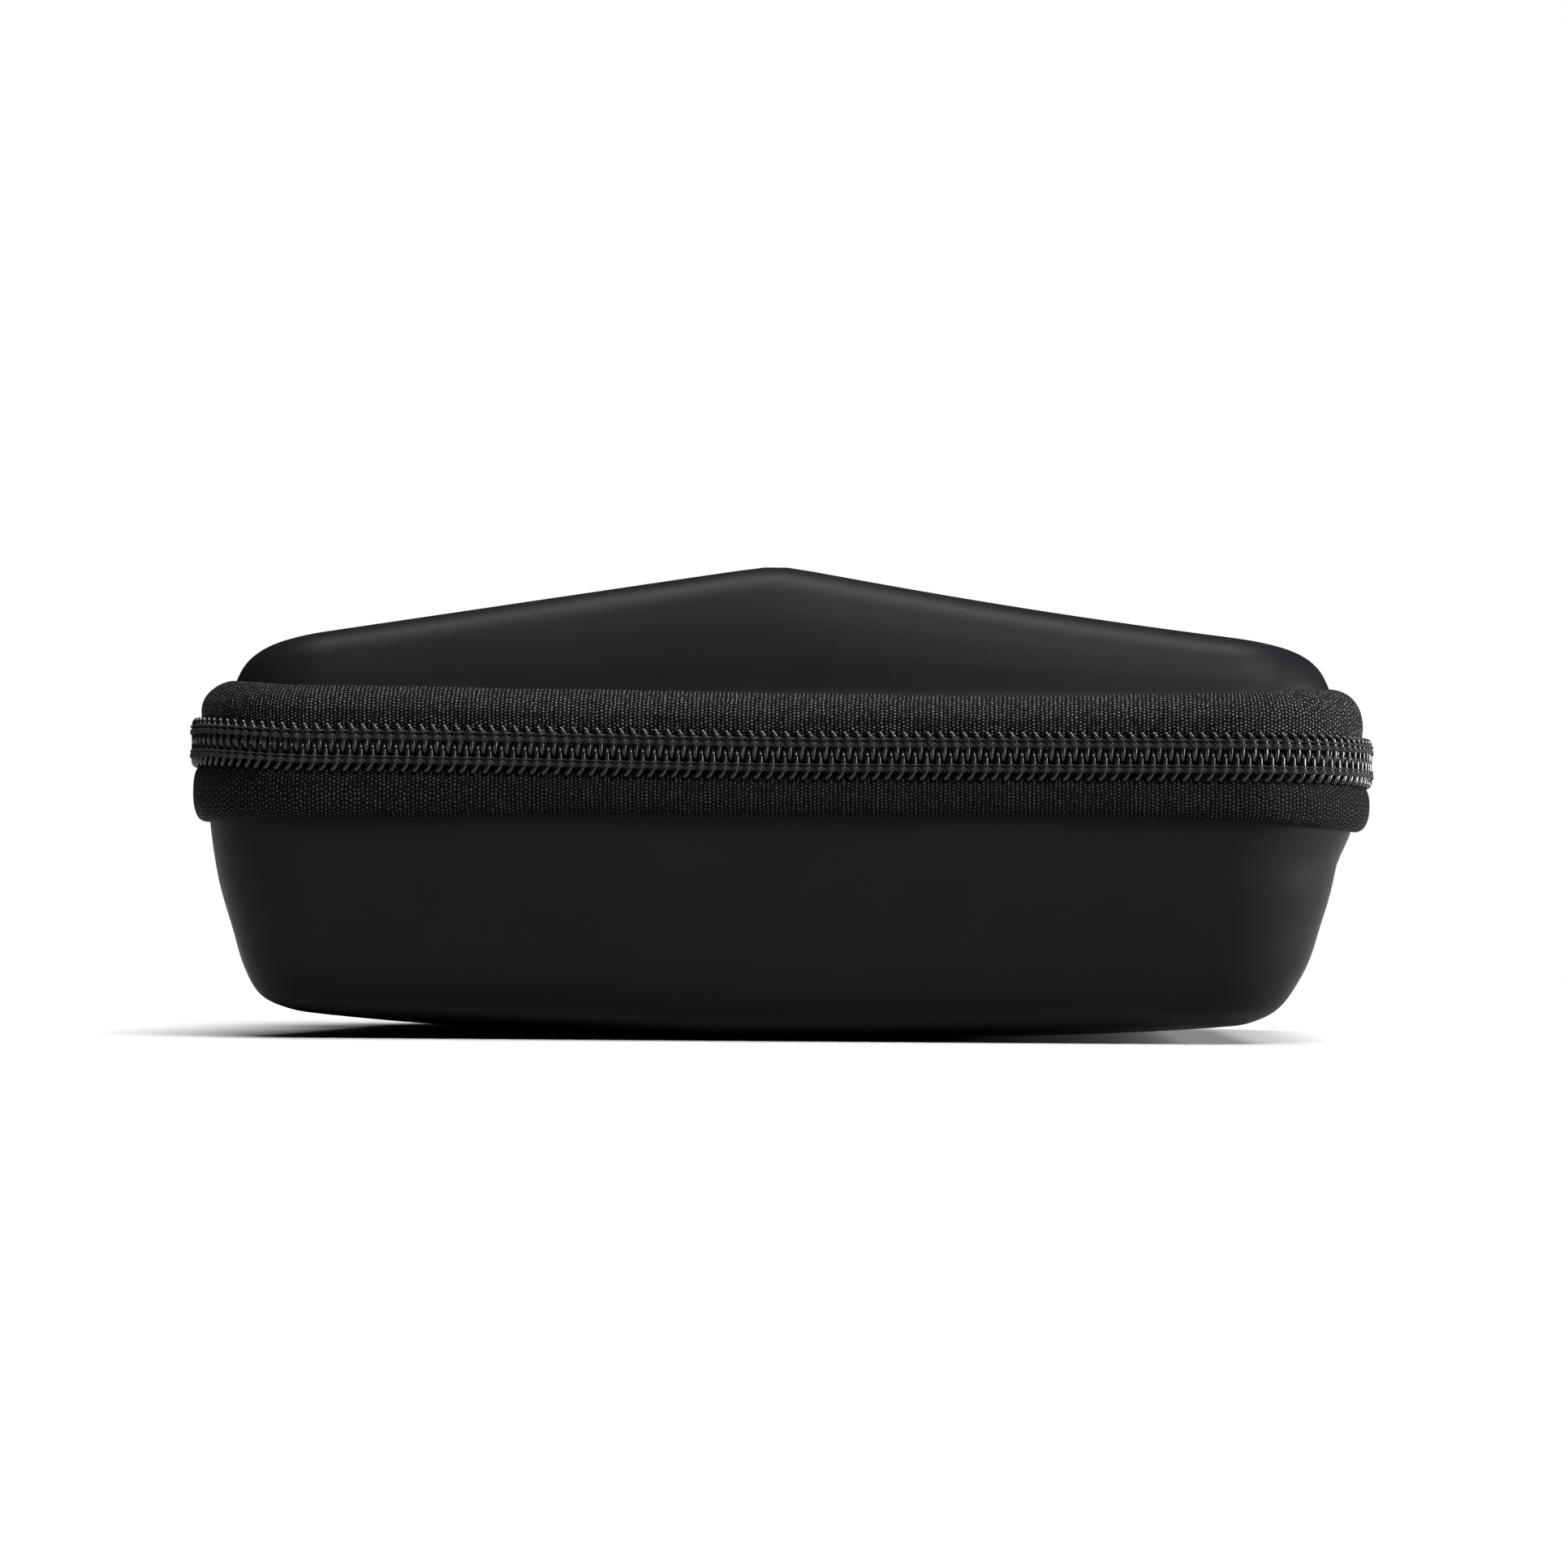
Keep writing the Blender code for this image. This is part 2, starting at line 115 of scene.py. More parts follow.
def spline(points, per_span, closed=False):
    """Catmull-Rom curve through the points, as an array with per_span points for each span."""
    points = np.asarray(points, float)
    if closed:
        padded = np.vstack([points[-1:], points, points[:2]])
        spans = len(points)
    else:
        first = 2 * points[:1] - points[1:2]
        last = 2 * points[-1:] - points[-2:-1]
        padded = np.vstack([first, points, last])
        spans = len(points) - 1
    t = np.arange(per_span)[:, None] / per_span
    pieces = []
    for i in range(spans):
        a, b, c, d = padded[i : i + 4]
        pieces.append(
            0.5 * (2 * b + (c - a) * t + (2 * a - 5 * b + 4 * c - d) * t**2 + (3 * b - a - 3 * c + d) * t**3)
        )
    if not closed:
        pieces.append(points[-1:])
    return np.vstack(pieces)


# ------ the plan of the case


def stretches(rear_x):
    """Runs and turns of the zip line, which starts and ends rear_x from the middle of the rear.

    A run has its two ends. A turn has its centre, its radius, and the angle in degrees where it starts.
    """
    x, y, rear, front = HALF_WIDTH, HALF_DEPTH, REAR_RADIUS, FRONT_RADIUS
    return [
        ("run", (-rear_x, y), (rear - x, y)),
        ("turn", (rear - x, y - rear), rear, 90),
        ("run", (-x, y - rear), (-x, front - y)),
        ("turn", (front - x, front - y), front, 180),
        ("run", (front - x, -y), (x - front, -y)),
        ("turn", (x - front, front - y), front, 270),
        ("run", (x, front - y), (x, y - rear)),
        ("turn", (x - rear, y - rear), rear, 0),
        ("run", (x - rear, y), (rear_x, y)),
    ]


def stretch_length(stretch):
    """Length of one run or turn."""
    if stretch[0] == "turn":
        return stretch[2] * math.pi / 2
    return math.dist(stretch[1], stretch[2])


def walk(s, rear_x):
    """Points of the zip line at these distances along it, and its outward normals there."""
    s = np.asarray(s, float)
    points = np.zeros((len(s), 2))
    normals = np.zeros((len(s), 2))
    start = 0.0
    line = stretches(rear_x)
    for number, stretch in enumerate(line):
        length = stretch_length(stretch)
        low = -np.inf if number == 0 else start
        high = np.inf if number == len(line) - 1 else start + length
        here = (s >= low) & (s < high)
        along = s[here] - start
        if stretch[0] == "run":
            begin, end = np.array(stretch[1]), np.array(stretch[2])
            direction = (end - begin) / length
            points[here] = begin + along[:, None] * direction
            normals[here] = (direction[1], -direction[0])
        else:
            angle = math.radians(stretch[3]) + along / stretch[2]
            normals[here] = np.stack([np.cos(angle), np.sin(angle)], axis=1)
            points[here] = np.array(stretch[1]) + stretch[2] * normals[here]
        start += length
    return points, normals


def closed_stations(straight_step, turn_steps):
    """Distances right round the outline, with short steps in the corners."""
    stations = []
    start = 0.0
    for stretch in stretches(0):
        length = stretch_length(stretch)
        count = turn_steps if stretch[0] == "turn" else max(2, round(length / straight_step))
        stations.extend(start + length * np.arange(count) / count)
        start += length
    return np.array(stations)


def underside(x):
    """How far the bottom stands off the ground towards either side."""
    left = LEFT_UNDERSIDE_SLOPE * np.maximum(0, -x - FLAT_LEFT)
    right = RIGHT_UNDERSIDE_SLOPE * np.maximum(0, x)
    return left + right


def roof(x, y):
    """Height of the lid's top."""
    away = np.hypot(x, RIDGE_ROUNDING) - RIDGE_ROUNDING
    right = (RIGHT_SLOPE - RIGHT_HOLLOW * away) * away
    fall = np.where(x > 0, right, LEFT_SLOPE * away)
    return RIDGE_Z - fall - ROOF_FALL_TO_REAR * (y + HALF_DEPTH) / (2 * HALF_DEPTH)


# Lengths of the runs and turns, and distances along the zip line to its front corners, end and slider.
STRETCH_LENGTHS = [stretch_length(stretch) for stretch in stretches(ZIP_END_X)]
LEFT_CORNER = sum(STRETCH_LENGTHS[:3]) + STRETCH_LENGTHS[3] / 2
RIGHT_CORNER = sum(STRETCH_LENGTHS[:5]) + STRETCH_LENGTHS[5] / 2
ZIP_LENGTH = sum(STRETCH_LENGTHS)
SLIDER_PLACE = STRETCH_LENGTHS[0] + STRETCH_LENGTHS[1] + HALF_DEPTH - REAR_RADIUS - SLIDER_Y

# The zip rides up past the end of the slider's run, and comes down along the front.
RISE_SPAN = (LEFT_CORNER - 40 * MM, LEFT_CORNER - 18 * MM)
SLOPE_HEIGHT = 1.2 * MM
SLOPE_SPAN = (LEFT_CORNER + 20 * MM, LEFT_CORNER + 110 * MM)
CORNER_HEIGHT = 1.75 * MM
CORNER_SPAN = (LEFT_CORNER - 12 * MM, LEFT_CORNER + 22 * MM)

HALF_GAP = 0.95 * MM
GAP_SPAN = (SLIDER_PLACE - 3 * MM, SLIDER_PLACE + 4 * MM)

# Waves of the tapes' outer edges: height, place along the zip, and width.
LID_EDGE_RISES = (
    (-0.4 * MM, LEFT_CORNER - 14 * MM, 22 * MM),
    (-0.3 * MM, RIGHT_CORNER - 55 * MM, 32 * MM),
    (1.6 * MM, RIGHT_CORNER + 12 * MM, 26 * MM),
)
TUB_EDGE_DIPS = (
    (1.0 * MM, LEFT_CORNER, 45 * MM),
    (1.8 * MM, RIGHT_CORNER + 12 * MM, 30 * MM),
)

# Small waves of sewn fabric: length and height, in mm.
RIPPLES = ((83, 0.15), (41, 0.10), (23, 0.06), (11, 0.03))
RIPPLE_PHASE = 2.4  # from one of them to the next


def zip_rise(s):
    """How much higher the zip runs round the left front corner than elsewhere."""
    slope = SLOPE_HEIGHT * (1 - smoothstep(*SLOPE_SPAN, s))
    corner = CORNER_HEIGHT * (1 - smoothstep(*CORNER_SPAN, s))
    return smoothstep(*RISE_SPAN, s) * (slope + corner)


def parting(s):
    """Half the gap between the coils, which is open behind the slider and closed in front of it."""
    return HALF_GAP * (1 - smoothstep(*GAP_SPAN, s))


def lid_edge_rise(s):
    """How much further than the zip the top edge of the lid's tape rides up."""
    return sum(height * bump(s, centre, width) for height, centre, width in LID_EDGE_RISES)


def tub_edge_rise(s):
    """The bottom edge of the tub's tape stays level, and dips a little at the corners."""
    dips = sum(height * bump(s, centre, width) for height, centre, width in TUB_EDGE_DIPS)
    return -zip_rise(s) - dips


def ripple(s, seed):
    """Small waves along sewn fabric."""
    total = np.zeros_like(np.asarray(s, float))
    for number, (length, height) in enumerate(RIPPLES):
        turn = 2 * math.pi * s / (length * MM)
        total += height * MM * np.sin(turn + seed + RIPPLE_PHASE * number)
    return total


def place(s, v, n):
    """Points at distance s along the zip, v above its middle, and n out from it."""
    points, normals = walk(s, ZIP_END_X)
    flat = points + normals * np.asarray(n, float)[:, None]
    z = ZIP_Z + np.asarray(v, float) + zip_rise(s)
    return np.column_stack([flat, z])


# ------ meshes

END_SHARE = 0.02  # how large the drawn-in end of a strip is
NEARLY_UPRIGHT = 0.9


def mesh_object(name, vertices, faces, uv=None):
    """Smooth object of quads; uv gives a place on the cloth for each vertex."""
    mesh = bpy.data.meshes.new(name)
    mesh.vertices.add(len(vertices))
    mesh.vertices.foreach_set("co", np.asarray(vertices, np.float32).ravel())
    mesh.loops.add(faces.size)
    mesh.loops.foreach_set("vertex_index", faces.astype(np.int32).ravel())
    mesh.polygons.add(len(faces))
    mesh.polygons.foreach_set("loop_start", np.arange(len(faces), dtype=np.int32) * faces.shape[1])
    if uv is not None:
        layer = mesh.uv_layers.new(name="cloth")
        layer.data.foreach_set("uv", np.asarray(uv, np.float32)[faces.ravel()].ravel())
    mesh.update(calc_edges=True)
    mesh.validate()
    mesh.shade_smooth()
    obj = bpy.data.objects.new(name, mesh)
    bpy.context.scene.collection.objects.link(obj)
    return obj


def grid_faces(rows, columns, rows_closed, columns_closed):
    """Corners of the quads of a grid, which may close on itself either way."""
    r = np.arange(rows if rows_closed else rows - 1)
    c = np.arange(columns if columns_closed else columns - 1)
    r, c = np.meshgrid(r, c, indexing="ij")
    r2 = (r + 1) % rows
    c2 = (c + 1) % columns
    corners = [r * columns + c, r * columns + c2, r2 * columns + c2, r2 * columns + c]
    return np.stack(corners, axis=-1).reshape(-1, 4)


def grid_object(name, grid, rows_closed=False, columns_closed=False, uv=None, flip=False):
    """Object from points in rows and columns; flip turns its faces over."""
    rows, columns = grid.shape[:2]
    faces = grid_faces(rows, columns, rows_closed, columns_closed)
    if flip:
        faces = faces[:, ::-1]
    return mesh_object(name, grid.reshape(-1, 3), faces, None if uv is None else uv.reshape(-1, 2))


def closed_ends(grid):
    """Draw in both ends of a strip, so that no open end shows."""
    ends = []
    for ring in (grid[:1], grid[-1:]):
        middle = ring.mean(axis=1, keepdims=True)
        ends.append(middle + END_SHARE * (ring - middle))
    return np.concatenate([ends[0], grid, ends[1]])


def distances(points):
    """How far each point is from the first, along the line through them."""
    return np.concatenate([[0], np.cumsum(np.linalg.norm(np.diff(points, axis=0), axis=1))])


def strip_object(name, grid, along, across, closed=False, flip=False):
    """Tube of cloth with these distances along and across it, and with drawn-in ends unless it is closed."""
    uv = np.stack(np.meshgrid(along, across, indexing="ij"), axis=-1)
    if not closed:
        grid = closed_ends(grid)
        uv = np.concatenate([uv[:1], uv, uv[-1:]])
    return grid_object(name, grid, rows_closed=closed, columns_closed=True, uv=uv, flip=flip)


def tube_grid(path, radius, sides):
    """Rings of a round strand along a path, turned as little as possible from one to the next."""
    tangents = np.gradient(path, axis=0)
    tangents /= np.linalg.norm(tangents, axis=1)[:, None]
    across = np.zeros_like(path)
    seed = np.array((0.0, 0.0, 1.0))
    if abs(tangents[0] @ seed) > NEARLY_UPRIGHT:
        seed = np.array((1.0, 0.0, 0.0))
    side = np.cross(tangents[0], seed)
    for i, tangent in enumerate(tangents):
        side = side - tangent * (tangent @ side)
        side /= math.sqrt(side @ side)
        across[i] = side
    other = np.cross(tangents, across)
    radius = np.broadcast_to(np.asarray(radius, float), len(path))
    angles = 2 * math.pi * np.arange(sides) / sides
    near = across[:, None] * np.cos(angles)[None, :, None]
    far = other[:, None] * np.sin(angles)[None, :, None]
    return path[:, None] + (near + far) * radius[:, None, None]


def tube_object(name, paths, radius, sides):
    """One object of several strands."""
    vertices = []
    faces = []
    start = 0
    for path in paths:
        grid = closed_ends(tube_grid(path, radius, sides))
        vertices.append(grid.reshape(-1, 3))
        faces.append(grid_faces(len(grid), sides, False, True) + start)
        start += grid.shape[0] * sides
    return mesh_object(name, np.vstack(vertices), np.vstack(faces))


# ------ materials

# Ranges that a noise or a pattern is stretched from.
WHOLE = (0.0, 1.0)
WIDE = (0.2, 0.8)
MOST = (0.3, 0.7)
MIDDLE = (0.35, 0.65)


def new_material(name, colour, roughness=0.5, metallic=0.0, specular=0.5, sheen=0.0):
    """Principled material, whose colour and roughness hold until a pattern is linked to them."""
    material = bpy.data.materials.new(name)
    material.use_nodes = True
    shader = material.node_tree.nodes["Principled BSDF"]
    shader.inputs["Base Color"].default_value = (*colour, 1)
    shader.inputs["Roughness"].default_value = roughness
    shader.inputs["Metallic"].default_value = metallic
    shader.inputs["Specular IOR Level"].default_value = specular
    shader.inputs["Sheen Weight"].default_value = sheen
    shader.inputs["Sheen Roughness"].default_value = 0.4
    return material, material.node_tree, shader


def node(tree, kind, inputs=(), **settings):
    """Add a node, with its settings, and its inputs as values or as sockets to link from."""
    made = tree.nodes.new("ShaderNode" + kind)
    for key, value in settings.items():
        setattr(made, key, value)
    for key, value in dict(inputs).items():
        if isinstance(value, bpy.types.NodeSocket):
            tree.links.new(value, made.inputs[key])
        else:
            made.inputs[key].default_value = value
    return made


def calc(tree, operation, first, second=0.0):
    return node(tree, "Math", {0: first, 1: second}, operation=operation).outputs[0]


def plus(tree, first, second):
    return calc(tree, "ADD", first, second)


def times(tree, first, second):
    return calc(tree, "MULTIPLY", first, second)


def humps(tree, value):
    """A row of rounded humps, one for each whole number that the value passes."""
    return calc(tree, "ABSOLUTE", calc(tree, "SINE", times(tree, value, math.pi)))


def noise(tree, scale, detail=2.0, roughness=0.5):
    """Noise that is fixed to the piece, with this many waves for each metre."""
    inputs = {"Vector": object_place(tree), "Scale": scale, "Detail": detail, "Roughness": roughness}
    return node(tree, "TexNoise", inputs).outputs["Fac"]


def ramp(tree, value, source, target):
    """Value mapped from the source range to the target range, and held at its ends."""
    inputs = {"Value": value, "From Min": source[0], "From Max": source[1]}
    inputs |= {"To Min": target[0], "To Max": target[1]}
    return node(tree, "MapRange", inputs).outputs["Result"]


def paint(shader, share, dark, light):
    """Base colour that goes from dark to light with the share."""
    made = node(shader.id_data, "Mix", {0: share}, data_type="RGBA")
    made.inputs[6].default_value = (*dark, 1)
    made.inputs[7].default_value = (*light, 1)
    shader.id_data.links.new(made.outputs[2], shader.inputs["Base Color"])


def roughen(shader, value, source, target):
    """Roughness that goes from one end of the target range to the other with the value."""
    tree = shader.id_data
    tree.links.new(ramp(tree, value, source, target), shader.inputs["Roughness"])


def object_place(tree):
    return node(tree, "TexCoord").outputs["Object"]


def cloth_place(tree):
    """Distances along and across a strip of cloth."""
    cloth = node(tree, "UVMap", uv_map="cloth").outputs["UV"]
    split = node(tree, "SeparateXYZ", {"Vector": cloth})
    return split.outputs["X"], split.outputs["Y"]


def add_bump(shader, height, distance, strength=1.0):
    """Relief in the surface, where a height of 1 stands up by the distance."""
    tree = shader.id_data
    made = node(tree, "Bump", {"Height": height, "Distance": distance, "Strength": strength})
    tree.links.new(made.outputs[0], shader.inputs["Normal"])


SKIN_DARK = (0.0027, 0.0026, 0.0033)
SKIN_LIGHT = (0.0033, 0.0031, 0.004)
PORE_SHARE = 0.6


def skin_material():
    """Soft-touch black skin, with a very fine grain and faint cloudiness."""
    material, tree, shader = new_material("moulded_skin", SKIN_DARK, specular=0.045)
    clouds = noise(tree, scale=42, detail=4)
    grain = noise(tree, scale=2600)
    pores = node(tree, "TexVoronoi", {"Vector": object_place(tree), "Scale": 1900}).outputs["Distance"]
    paint(shader, ramp(tree, clouds, MIDDLE, WHOLE), SKIN_DARK, SKIN_LIGHT)
    rough = plus(tree, ramp(tree, grain, MOST, (0.42, 0.52)), ramp(tree, clouds, MOST, (-0.02, 0.03)))
    tree.links.new(rough, shader.inputs["Roughness"])
    height = plus(tree, grain, times(tree, pores, PORE_SHARE))
    add_bump(shader, height, distance=0.018 * MM, strength=0.55)
    return material


WARP_STEP = 0.71 * MM
WEFT_STEP = 0.56 * MM
WARP_WANDER = 0.22  # in steps
WEFT_WANDER = 0.25
TWILL_BAND = 3.0  # columns before the twill turns round
TWILL_STARTS = (4.2 * MM, 6.2 * MM)  # where the plain weave gives way, from the coil's edge
# Heights of the weave over which the painted highlight on the knot tops comes in, and the noise that breaks
# that highlight up at random.
KNOT_TOPS = (0.68, 0.95)
HIGHLIGHT_FLECK_RANGE = (0.38, 0.62)
HIGHLIGHT_FLECK_SHARES = (0.15, 1.0)


def twill(tree, along, across, ribs):
    """Slanting ribs, which turn round at every band of columns."""
    half = times(tree, along, 0.5)
    slant = plus(tree, half, across)
    lean = calc(tree, "SUBTRACT", half, across)
    band = calc(tree, "FLOOR", calc(tree, "DIVIDE", along, TWILL_BAND))
    odd = calc(tree, "FLOORED_MODULO", band, 2.0)
    forth = times(tree, slant, odd)
    back = times(tree, lean, calc(tree, "SUBTRACT", 1.0, odd))
    return times(tree, humps(tree, plus(tree, forth, back)), ribs)


def plain_weave(tree, along, across, ribs):
    """Columns of knots, with every other column half a knot lower."""
    odd = calc(tree, "FLOORED_MODULO", calc(tree, "FLOOR", along), 2.0)
    knots = humps(tree, plus(tree, across, times(tree, odd, 0.5)))
    return times(tree, calc(tree, "POWER", ribs, 0.8), calc(tree, "POWER", knots, 0.7))


def weave_material(name, dark, bright, specular):
    """Woven zip tape: columns of small knots near the coil, turning to twill towards the outer edge. The
    knot tops are painted lighter as a highlight, and the gaps between them stay dark as painted shade.
    """
    material, tree, shader = new_material(name, dark, specular=specular)
    wander = noise(tree, scale=900, detail=1)
    x, y = cloth_place(tree)
    along = calc(tree, "DIVIDE", x, WARP_STEP)
    across = calc(tree, "DIVIDE", y, WEFT_STEP)
    along = plus(tree, along, ramp(tree, wander, WIDE, (-WARP_WANDER, WARP_WANDER)))
    across = plus(tree, across, ramp(tree, wander, WIDE, (WEFT_WANDER, -WEFT_WANDER)))
    ribs = humps(tree, along)
    plain = plain_weave(tree, along, across, ribs)
    edge = ramp(tree, y, TWILL_STARTS, WHOLE)
    height = node(tree, "Mix", {0: edge, 2: plain, 3: twill(tree, along, across, ribs)}).outputs[0]
    highlight_flecks = ramp(tree, noise(tree, scale=1500, detail=3), HIGHLIGHT_FLECK_RANGE, HIGHLIGHT_FLECK_SHARES)
    # Painted highlight: the knot tops are coloured lighter, broken up at random, and the gaps between them
    # darker as painted shade.
    painted_highlight_share = times(tree, ramp(tree, height, KNOT_TOPS, WHOLE), highlight_flecks)
    paint(shader, painted_highlight_share, dark, bright)
    roughen(shader, height, (0.2, 1.0), (0.8, 0.42))
    add_bump(shader, height, distance=0.16 * MM)
    return material


NYLON_DARK = (0.002, 0.002, 0.0024)
NYLON_SCUFFED = (0.005, 0.005, 0.006)


def nylon_material():
    """Smooth black monofilament, a little scuffed."""
    material, tree, shader = new_material("coil_nylon", NYLON_DARK, specular=0.22)
    scuffs = noise(tree, scale=1400, detail=3)
    roughen(shader, scuffs, (0.35, 0.75), (0.14, 0.28))
    paint(shader, ramp(tree, scuffs, (0.4, 0.7), WHOLE), NYLON_DARK, NYLON_SCUFFED)
    add_bump(shader, scuffs, distance=0.02 * MM, strength=0.4)
    return material


THREAD_DARK = (0.0008, 0.0008, 0.001)
THREAD_LIGHT = (0.012, 0.012, 0.0125)


def thread_material():
    """Twisted black sewing thread with a fine fuzz."""
    material, tree, shader = new_material("sewing_thread", THREAD_DARK, roughness=0.6, specular=0.15)
    strands = noise(tree, scale=5200)
    paint(shader, ramp(tree, strands, MIDDLE, WHOLE), THREAD_DARK, THREAD_LIGHT)
    add_bump(shader, strands, distance=0.06 * MM, strength=0.9)
    return material


def brushed_material(name, dark, bright, nap_scale):
    """Short-napped cloth: lining, foam cover, loop tape."""
    material, tree, shader = new_material(name, dark, specular=0.2, sheen=0.35)
    nap = noise(tree, nap_scale, detail=5, roughness=0.65)
    patches = ramp(tree, noise(tree, scale=38, detail=3), MOST, (0.6, 1.0))
    paint(shader, times(tree, ramp(tree, nap, MOST, WHOLE), patches), dark, bright)
    roughen(shader, nap, MOST, (0.95, 0.8))
    add_bump(shader, nap, distance=0.12 * MM, strength=0.8)
    return material


# Black yarn: on the net it varies between these two at random; on the binding the lighter one is a painted
# highlight on the rib tops.
YARN_DARK = (0.006, 0.006, 0.0065)
YARN_LIGHT_AND_RIB_HIGHLIGHT = (0.03, 0.03, 0.032)
RIB_WIDTH = 0.275 * MM


def ribbon_material():
    """Ribbed black binding tape, painted lighter on the rib tops as a highlight and darker in the grooves as
    painted shade.
    """
    material, tree, shader = new_material("ribbed_binding", YARN_DARK, roughness=0.7, specular=0.25)
    x, _ = cloth_place(tree)
    ribs = humps(tree, calc(tree, "DIVIDE", x, RIB_WIDTH))
    fuzz = noise(tree, scale=2400, detail=3)
    height = plus(tree, ribs, times(tree, fuzz, 0.5))
    # Painted highlight on the rib tops and painted shade in the grooves, following the ribs' height.
    paint(shader, ramp(tree, height, (0.5, 1.3), WHOLE), YARN_DARK, YARN_LIGHT_AND_RIB_HIGHLIGHT)
    add_bump(shader, height, distance=0.1 * MM, strength=0.9)
    return material


NET_ROW = 0.866  # height of a row of holes, in cells
NET_HOLE = (0.30, 0.34)  # from the inside of a hole to its edge, in cells


def net_material():
    """Knitted net with open round holes in staggered rows."""
    material, tree, shader = new_material("pocket_net", YARN_DARK, roughness=0.6, specular=0.35)
    x, y = cloth_place(tree)
    along = calc(tree, "DIVIDE", x, NET_CELL)
    across = calc(tree, "DIVIDE", y, NET_CELL * NET_ROW)
    odd = calc(tree, "FLOORED_MODULO", calc(tree, "FLOOR", across), 2.0)
    shifted = plus(tree, along, times(tree, odd, 0.5))
    x = calc(tree, "SUBTRACT", calc(tree, "FRACT", shifted), 0.5)
    y = calc(tree, "SUBTRACT", calc(tree, "FRACT", across), 0.5)
    y = times(tree, y, NET_ROW)
    squares = plus(tree, times(tree, x, x), times(tree, y, y))
    far = calc(tree, "SQRT", squares)
    tree.links.new(ramp(tree, far, NET_HOLE, WHOLE), shader.inputs["Alpha"])
    yarn = noise(tree, scale=4200)
    paint(shader, yarn, YARN_DARK, YARN_LIGHT_AND_RIB_HIGHLIGHT)
    height = plus(tree, far, times(tree, yarn, 0.4))
    add_bump(shader, height, distance=0.2 * MM, strength=0.8)
    return material


# Painted highlight on the tops of the hooks, and the tape's black deepened as painted shade between them.
HOOK_TOP_HIGHLIGHT = (0.035, 0.035, 0.036)
HOOK_DARK = (0.006, 0.006, 0.006)
HOOK_CELLS = {"Scale": 1100.0, "Randomness": 0.35}


def hook_material():
    """Rows of tiny nylon hooks, painted lighter on their tops as a highlight and darker between them as
    painted shade.
    """
    material, tree, shader = new_material("hook_tape", HOOK_DARK, specular=0.4)
    cells = node(tree, "TexVoronoi", {"Vector": object_place(tree), **HOOK_CELLS})
    far = cells.outputs["Distance"]
    roughen(shader, far, (0.1, 0.6), (0.35, 0.7))
    # Painted highlight at the middle of each hook, and painted shade towards the gaps.
    paint(shader, ramp(tree, far, (0.1, 0.5), WHOLE), HOOK_TOP_HIGHLIGHT, HOOK_DARK)
    add_bump(shader, ramp(tree, far, (0.0, 0.6), (1.0, 0.0)), distance=0.3 * MM)
    return material


METAL_DARK = (0.045, 0.045, 0.048)
METAL_WORN = (0.16, 0.16, 0.165)


def metal_material():
    """Black plated zinc, worn a little brighter."""
    material, tree, shader = new_material("slider_metal", METAL_DARK, metallic=1.0)
    wear = noise(tree, scale=700, detail=5, roughness=0.7)
    paint(shader, ramp(tree, wear, (0.55, 0.75), WHOLE), METAL_DARK, METAL_WORN)
    roughen(shader, wear, MOST, (0.24, 0.42))
    add_bump(shader, wear, distance=0.02 * MM, strength=0.35)
    return material


RUBBER_DARK = (0.009, 0.009, 0.0095)
RUBBER_LIGHT = (0.017, 0.017, 0.018)


def rubber_material():
    """Moulded rubber with a fine eroded texture."""
    material, tree, shader = new_material("tab_rubber", RUBBER_DARK, specular=0.35)
    grain = noise(tree, scale=3200, detail=3)
    roughen(shader, grain, MOST, (0.55, 0.72))
    paint(shader, grain, RUBBER_DARK, RUBBER_LIGHT)
    add_bump(shader, grain, distance=0.05 * MM, strength=0.6)
    return material


FLOOR_DARK = (0.44, 0.44, 0.44)
FLOOR_LIGHT = (0.46, 0.46, 0.46)
FLOOR_GLOW = (0.2, 0.6)  # from where the glow starts to where it is full, in metres from the middle


def floor_material():
    """Matt white table that glows more and more away from the case, so that it has no horizon."""
    material, tree, shader = new_material("white_floor", FLOOR_LIGHT, roughness=0.6, specular=0.1)
    paint(shader, noise(tree, scale=3), FLOOR_DARK, FLOOR_LIGHT)
    far = node(tree, "VectorMath", {0: object_place(tree)}, operation="LENGTH").outputs["Value"]
    shader.inputs["Emission Color"].default_value = (1, 1, 1, 1)
    tree.links.new(ramp(tree, far, FLOOR_GLOW, WHOLE), shader.inputs["Emission Strength"])
    return material


def finish_piece(obj, body, material, slot_name, *nodes):
    """Give a piece its material and its body, and hide the CAD nodes that it stands for; slot_name is not
    used.
    """
    obj.data.materials.clear()
    obj.data.materials.append(material)
    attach(obj, body)
    if nodes:
        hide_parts(*nodes)


# ------ moulded halves

OUTLINE = closed_stations(straight_step=4 * MM, turn_steps=14)
PER_SPAN = 6  # rings from one row of a profile to the next
MIDDLE_RINGS = 16
FLAT_BOTTOM = 0.4  # share of the bottom that touches the ground
TUCK_SPAN = (30 * MM, 38 * MM)  # heights between which the right side's tuck fades out
CORNER_TUCK_SPAN = (3 * MM, 18 * MM)
NO_LENGTH = 1e-12


def rings_of(profile_insets, heights):
    """Grid of rings: one for each inset, with its height from the function heights(ring, x, y)."""
    points, normals = walk(OUTLINE, 0)
    rings = []
    for ring, inset in enumerate(profile_insets):
        flat = points - normals * inset
        rings.append(np.column_stack([flat, heights(ring, flat[:, 0], flat[:, 1])]))
    return np.stack(rings)


def towards_middle(last_ring, height):
    """Rings from the last one in to a single point at the middle of the plan."""
    rings = []
    for share in np.linspace(1, 0, MIDDLE_RINGS + 1)[1:]:
        flat = last_ring[:, :2] * share
        rings.append(np.column_stack([flat, height(share, flat[:, 0], flat[:, 1])]))
    return np.stack(rings)


